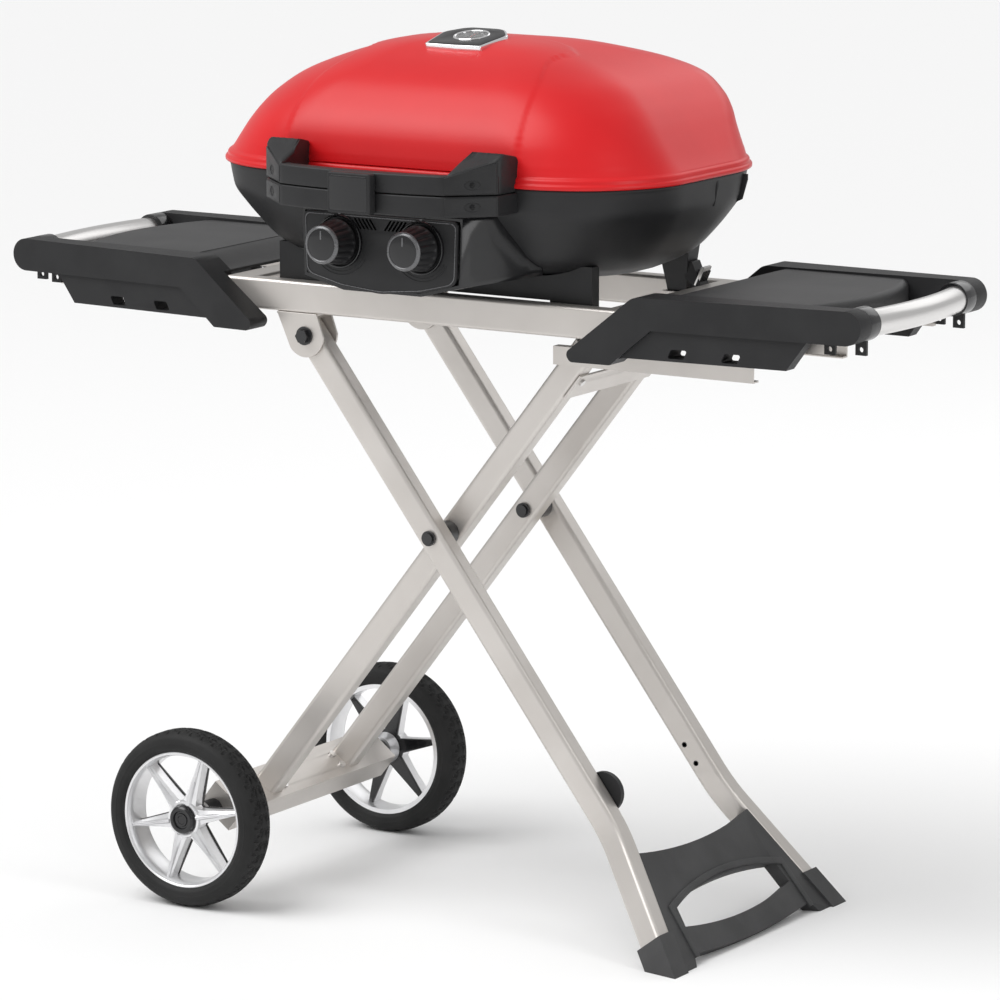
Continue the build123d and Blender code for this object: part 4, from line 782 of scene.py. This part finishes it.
vents = []
for side in (-1, 1):
    for number in range(5):
        start = 4.5 + 4.9 * number
        slot = [(side * start, 791), (side * (start + 2.4), 791), (side * (start + 10.4), 802.5),
                (side * (start + 8.0), 802.5)]
        vents.append(rounded(slot, 0.8, steps=3))
holes = [circle_points(7, 32, (side * KNOB_X, KNOB_Z)) for side in (-1, 1)]
piece("control_panel_plate", plate_mesh("panel", [panel_outline(0)] + vents + holes, 4.0, 0.7, on_panel),
      BLACK_PLASTIC, "frame_and_box", "control_panel")
piece("control_panel_rim", plate_mesh("panel_rim", [panel_outline(2.0), panel_outline(3.0)], 0.9, 0.2,
                                      lambda a, b, h: on_panel(a, b, h + 3.6)), SATIN_RING, "frame_and_box")
ridges, rings, ticks = [], [], []
for side in (-1, 1):
    for radius in (33.0, 36.5):
        arc = [(side * KNOB_X + radius * math.cos(rad(a)), KNOB_Z + radius * math.sin(rad(a)))
               for a in range(208, 333, 5)]
        arc += [(side * KNOB_X + (radius + 1.0) * math.cos(rad(a)),
                 KNOB_Z + (radius + 1.0) * math.sin(rad(a)))
                for a in range(332, 207, -5)]
        ridges.append(plate_mesh("ridge", [arc], 1.2, 0.25, lambda a, b, h: on_panel(a, b, h + 3.4)))
    rings.append(turned_mesh("knob_ring", [(26.6, 0.1), (26.6, 2.2), (27.2, 3.2), (28.2, 3.5), (29.1, 3.0),
                                           (29.5, 1.8), (29.5, 0.1)], (side * KNOB_X, PANEL_Y, KNOB_Z),
                                           "y-",
                             steps=96, closed=True))
    tick = rounded([(side * KNOB_X - 2.2, 811.0), (side * KNOB_X, 807.4), (side * KNOB_X + 2.2, 811.0)],
                   0.2, 2)
    tick = [(x, z - 3.8) for x, z in tick]
    ticks.append(plate_mesh("tick", [tick], 0.5, 0.1, lambda a, b, h: on_panel(a, b, h + 3.8)))
piece("control_panel_ridges", joined_mesh("ridges", ridges), BLACK_PLASTIC, "frame_and_box")
piece("control_panel_ticks", joined_mesh("ticks", ticks), SATIN_RING, "frame_and_box")
piece("knob_rings_gloss", joined_mesh("knob_rings", rings), GLOSS_BLACK, "frame_and_box", "knob_rings")

KNOB_BACK = PANEL_Y - 5.2


def knob_body(x):
    """Ribbed skirt of a knob."""
    rows = [(4.4, 0.2, 0), (24.4, 0.0, 0), (25.0, 0.8, 0), (25.0, 2.4, 0), (24.7, 3.4, 0.3), (24.4, 5, 1),
            (23.6, 11, 1), (22.8, 17, 1), (22.0, 23, 1), (21.6, 26.2, 1), (21.4, 27.6, 0.2),
            (21.3, 28.6, 0), (20.4, 29.2, 0), (4.4, 29.2, 0)]
    steps = 216
    verts, faces = [], []
    for k in range(steps):
        angle = 2 * math.pi * k / steps
        wave = 0.5 + 0.5 * math.cos(18 * angle)
        for radius, height, rib in rows:
            r = radius - 1.5 * rib * wave ** 2.2
            verts.append(world(x + r * math.cos(angle), KNOB_BACK - height, KNOB_Z + r * math.sin(angle)))
    count = len(rows)
    for k in range(steps):
        n = (k + 1) % steps
        for i in range(count):
            j = (i + 1) % count
            faces.append((k * count + i, k * count + j, n * count + j, n * count + i))
    return mesh_of("knob_body", verts, faces)


for label, side in (("left", -1), ("right", 1)):
    centre = (side * KNOB_X, KNOB_BACK, KNOB_Z)
    body = label + "_knob"
    piece("knob_body_" + label, knob_body(side * KNOB_X), BLACK_PLASTIC, body, "knob_" + label)
    piece("knob_ring_" + label, turned_mesh("ring", [(17.4, 28.9), (21.3, 28.9), (21.3, 29.8), (20.2, 31.4),
                                                     (18.2, 32.2), (17.4, 31.6)], centre, "y-",
                                                     closed=True),
          SATIN_RING, body)
    piece("knob_cap_" + label, turned_mesh("cap", [(17.3, 29.6), (17.3, 31.3), (15.5, 31.7), (9, 32.3),
                                                   (0, 32.6)],
                                           centre, "y-"), GLOSS_BLACK, body)
    piece("knob_pointer_" + label, box_mesh("pointer", (1.8, 1.0, 9.5), (side * KNOB_X, KNOB_BACK - 32.1,
                                                                        KNOB_Z + 10.5), bevel=0.3),
                                                                        SATIN_RING, body)

# ---------------------------------------------------------------- handles
LOW_BAR, HIGH_BAR = 816.0, 839.6


def bar_outline(tail):
    right = [(149.0, -218.0), (151.0, tail), (136.0, tail), (134.0, -212.0)]
    points = arc_points((-104.5, -258.0), (0, -270.0), (104.5, -258.0), 40) + [(104.5, -258.0)] + right
    points += arc_points((97.0, -243.5), (0, -252.5), (-97.0, -243.5), 40) + [(-97.0, -243.5)]
    return points + [(-x, y) for x, y in reversed(right)]


END_ALONG = Vector((44.5, 40.0)).normalized()


def end_plate(side, low, outline):
    """Facing on the angled end of a bar, with an oval screw recess."""
    recess = [(2.0 + 8.6 * math.cos(rad(10 * k)), 11.2 + 5.0 * math.sin(rad(10 * k))) for k in range(36)]

    def place(a, b, h):
        x = 126.75 + END_ALONG[0] * a + END_ALONG[1] * (h - 3.4)
        y = -238.0 + END_ALONG[1] * a - END_ALONG[0] * (h - 3.4)
        return world(side * x, y, low + b)

    plate = plate_mesh("end_plate", [rounded(outline, 1.6, 4), recess], 4.2, 0.7, place)
    screw = plate_mesh("end_screw", [circle_points(3.6, 24, (2.0, 11.2))], 3.4, 0.4, place)
    return plate, screw


def bar(low, tall, tail):
    return plate_mesh("bar", [bar_outline(tail)], tall, 2.0, lambda a, b, h: world(a, b, low + h),
                      segments=4)


POST_TOP = [(-262, 860.6), (-256, 861), (-217, 877.5), (-209, 883), (-176, 876.2)]


def post_mesh(side):
    """The widened, raised end of the lid's bar, a chunky block that reaches the lid."""
    rings = []
    inner, outer, edge = 105.5, 150.6, 2.4
    stations = [(inner, edge), (inner + 0.8, 0.9), (inner + edge, 0)]
    stations += [(inner + edge + (outer - inner - 2 * edge) * k / 14, 0) for k in range(1, 14)]
    stations += [(outer - edge, 0), (outer - 0.8, 0.9), (outer, edge)]
    for x, tuck in stations:
        nose = -257.2 + (x - 104.5) * 40 / 44.5
        front = max(nose, -258) + tuck + 0.2
        back = -180.4 - 2.2 * smoothstep(118, 104, x) - 48 * (1 - smoothstep(105, 118, x)) * 0.9
        heel = min(back, -186.6)
        ring = [(side * x, back, 844.0 + tuck), (side * x, heel, 844.0 + tuck),
                (side * x, heel, 840.0 + tuck),
                (side * x, front + 2.2, 840.0 + tuck), (side * x, front, 842.2 + tuck)]
        top_front = table_at(POST_TOP, front + 1.2)[0]
        ring.append((side * x, front, top_front - 2.4 - tuck))
        for k in range(12):
            y = front + 2.0 + (back - front - 3.6) * k / 11
            ring.append((side * x, y, table_at(POST_TOP, y)[0] - tuck - (0.3 if k == 0 else 0)))
        ring.append((side * x, back, table_at(POST_TOP, back)[0] - 2.4 - tuck))
        rings.append(ring)
    return rings_mesh("post", rings, cap_first=True, cap_last=True)


upper_face = [(-28.6, 1.8), (28.6, 1.8), (28.6, 34.6), (-28.6, 19.4)]
lower_face = [(-28.6, 1.8), (28.6, 1.8), (28.6, 21.2), (-28.6, 21.2)]
facings = {"upper": [], "lower": []}
screws = {"upper": [], "lower": []}
for label, low, outline in (("upper", HIGH_BAR, upper_face), ("lower", LOW_BAR, lower_face)):
    for side in (-1, 1):
        plate, screw = end_plate(side, low, outline)
        facings[label].append(plate)
        screws[label].append(screw)
upper = [bar(HIGH_BAR, 21.4, -186), post_mesh(1), post_mesh(-1)]
piece("lid_handle_bar", joined_mesh("upper_bar", upper), BLACK_PLASTIC, "lid", "lid_handle",
      smooth=30)
piece("lid_handle_ends", joined_mesh("upper_ends", facings["upper"]), BLACK_PLASTIC, "lid")
piece("lid_handle_screws", joined_mesh("upper_screws", screws["upper"]), BLACK_STEEL, "lid")
piece("base_handle_bar", bar(LOW_BAR, 22.8, -179), BLACK_PLASTIC, "frame_and_box", "base_handle",
      smooth=30)
piece("base_handle_ends", joined_mesh("lower_ends", facings["lower"]), BLACK_PLASTIC, "frame_and_box")
piece("base_handle_screws", joined_mesh("lower_screws", screws["lower"]), BLACK_STEEL, "frame_and_box")


def badge_outline(inset):
    return rounded([(-27 + inset, 816.5 + inset), (27 - inset, 816.5 + inset), (27 - inset, 860.5 - inset),
                    (-27 + inset, 860.5 - inset)], 2.5, 6)


piece("handle_badge_block", plate_mesh("badge", [badge_outline(0)], 12.2, 1.6,
                                       lambda a, b, h: world(a, -270.4 - h, b), segments=4),
      CHEEK_PLASTIC, "lid", "handle_badge")
piece("handle_badge_face", plate_mesh("badge_face", [badge_outline(3.2)], 0.9, 0.3,
                                      lambda a, b, h: world(a, -282.1 - h, b)), GLOSS_BLACK, "lid")

# ---------------------------------------------------------------- shelf ends
sleeve = turned_mesh("sleeve", [(14.9, 98.8), (17.7, 98.8), (18.5, 99.6), (18.6, 106), (18.6, 119.8),
                                (18.3, 121.2),
                                (16.5, 121.2)], (531.2, 0, 716.9), "y-", steps=72, closed=True)
rear_sleeve = mirrored_mesh("sleeve", sleeve, "y")
sleeves = [sleeve, rear_sleeve, mirrored_mesh("sleeve", sleeve, "x"),
           mirrored_mesh("sleeve", rear_sleeve, "x")]
piece("shelf_end_sleeves", joined_mesh("sleeves", sleeves), GLOSS_BLACK, "frame_and_box")

# ---------------------------------------------------------------- ribbed pads on the rear catches
pads = []
for side in (-1, 1):
    for number in range(7):
        pads.append(box_mesh("pad_rib", (3.0, 1.6, 23), (side * 219.2, 95.4 + 2.5 * number, 719.0),
                             bevel=0.5, turn=Matrix.Rotation(rad(side * 24), 3, "Y")))
    pads.append(box_mesh("pad_base", (2.4, 18.4, 23), (side * 217.4, 103, 719.0), bevel=0.6,
                         turn=Matrix.Rotation(rad(side * 24), 3, "Y")))
piece("catch_pads", joined_mesh("pads", pads), BRIGHT_STEEL, "frame_and_box")

# ---------------------------------------------------------------- foot plate and legs
LEG_RUN, LEG_DROP = 0.60327, 0.79754
LEG_MID_X, LEG_MID_Z = 6.1, 438.1


def on_leg(t, y, n):
    """A point of the outer legs' own plane: t down the leg, y across, n out of its face."""
    return world(LEG_MID_X + LEG_RUN * t + LEG_DROP * n, y, LEG_MID_Z - LEG_DROP * t + LEG_RUN * n)


ridge = arc_points((486, -127), (467, 0), (486, 127), 40) + [(486, 127), (550, 133), (550, 125),
                                                             (493, 119.5)]
ridge += arc_points((493, 119.5), (474.5, 0), (493, -119.5), 40) + [(493, -119.5), (550, -125), (550, -133)]
piece("foot_plate_ridge", plate_mesh("foot_ridge", [ridge], 3.4, 1.2,
                                     lambda a, b, h: on_leg(a, b, 13.0 + h)), FOOT_PLASTIC, "outer_legs")
# dark discs with a thin rim, painted as the shade inside two holes in the outer legs
holes = []
for x, z in ((195.4, 179.8), (210.6, 160.0)):
    holes.append(turned_mesh("leg_hole", [(0, 0), (2.3, 0), (2.9, 0.25), (3.2, 0.25), (3.2, -0.4)],
                             (x, 107.8, z), "y-", steps=24))
piece("outer_leg_hole_shade", joined_mesh("leg_holes", holes), GLOSS_BLACK, "outer_legs")

# ---------------------------------------------------------------- floor, light and camera
FLOOR_HALF = 70
WORLD_STRENGTH = 0.55
SUN_STRENGTH, SUN_ANGLE = 1.9, 50
SUN_FROM = (-0.45, -0.5, 1.0)
FOCAL_MM, CAMERA_AWAY = 199.66, 6.2367
CAMERA_AZIMUTH, CAMERA_ELEVATION = 31.77, 10.54
CAMERA_AIM = (16.4, 0, 461.4)

corners = [(x * FLOOR_HALF, y * FLOOR_HALF, 0) for x, y in ((-1, -1), (1, -1), (1, 1), (-1, 1))]
floor_mesh = mesh_of("floor", corners, [(0, 1, 2, 3)])
floor = bpy.data.objects.new("floor", floor_mesh)
floor_mesh.materials.append(FLOOR)
bpy.context.scene.collection.objects.link(floor)

sky = bpy.data.worlds.new("studio")
bpy.context.scene.world = sky
sky.use_nodes = True
tree = sky.node_tree
background = tree.nodes["Background"]
background.inputs["Color"].default_value = (1.0, 1.0, 1.0, 1.0)
background.inputs["Strength"].default_value = WORLD_STRENGTH


def area_light(name, spot, target, size, power):
    data = bpy.data.lights.new(name, "AREA")
    data.shape = "RECTANGLE"
    data.size, data.size_y = size
    data.energy = power
    lamp = bpy.data.objects.new(name, data)
    bpy.context.scene.collection.objects.link(lamp)
    lamp.location = spot
    lamp.rotation_euler = (Vector(target) - Vector(spot)).to_track_quat("-Z", "Y").to_euler()
    return lamp


sun_data = bpy.data.lights.new("sun", "SUN")
sun_data.energy = SUN_STRENGTH
sun_data.angle = rad(SUN_ANGLE)
sun = bpy.data.objects.new("sun", sun_data)
bpy.context.scene.collection.objects.link(sun)
sun.rotation_euler = Vector(SUN_FROM).to_track_quat("Z", "Y").to_euler()
area_light("key", (-1.9, -2.2, 3.0), (0, 0, 0.6), (1.6, 1.6), 16)
area_light("side", (3.0, -0.6, 1.8), (0.1, 0, 0.7), (0.9, 2.4), 16)
area_light("back", (0.4, 3.0, 2.4), (0, 0, 0.7), (2.6, 1.2), 10)

camera_data = bpy.data.cameras.new("camera")
camera_data.sensor_width = 36.0
camera_data.lens = FOCAL_MM
camera_data.clip_end = 100
camera = bpy.data.objects.new("camera", camera_data)
bpy.context.scene.collection.objects.link(camera)
azimuth, elevation = rad(CAMERA_AZIMUTH), rad(CAMERA_ELEVATION)
back = Vector((math.sin(azimuth) * math.cos(elevation), -math.cos(azimuth) * math.cos(elevation),
               math.sin(elevation)))
camera.location = world(*CAMERA_AIM) + back * CAMERA_AWAY
camera.rotation_euler = back.to_track_quat("Z", "Y").to_euler()
bpy.context.scene.camera = camera
bpy.context.scene.view_settings.view_transform = "Standard"

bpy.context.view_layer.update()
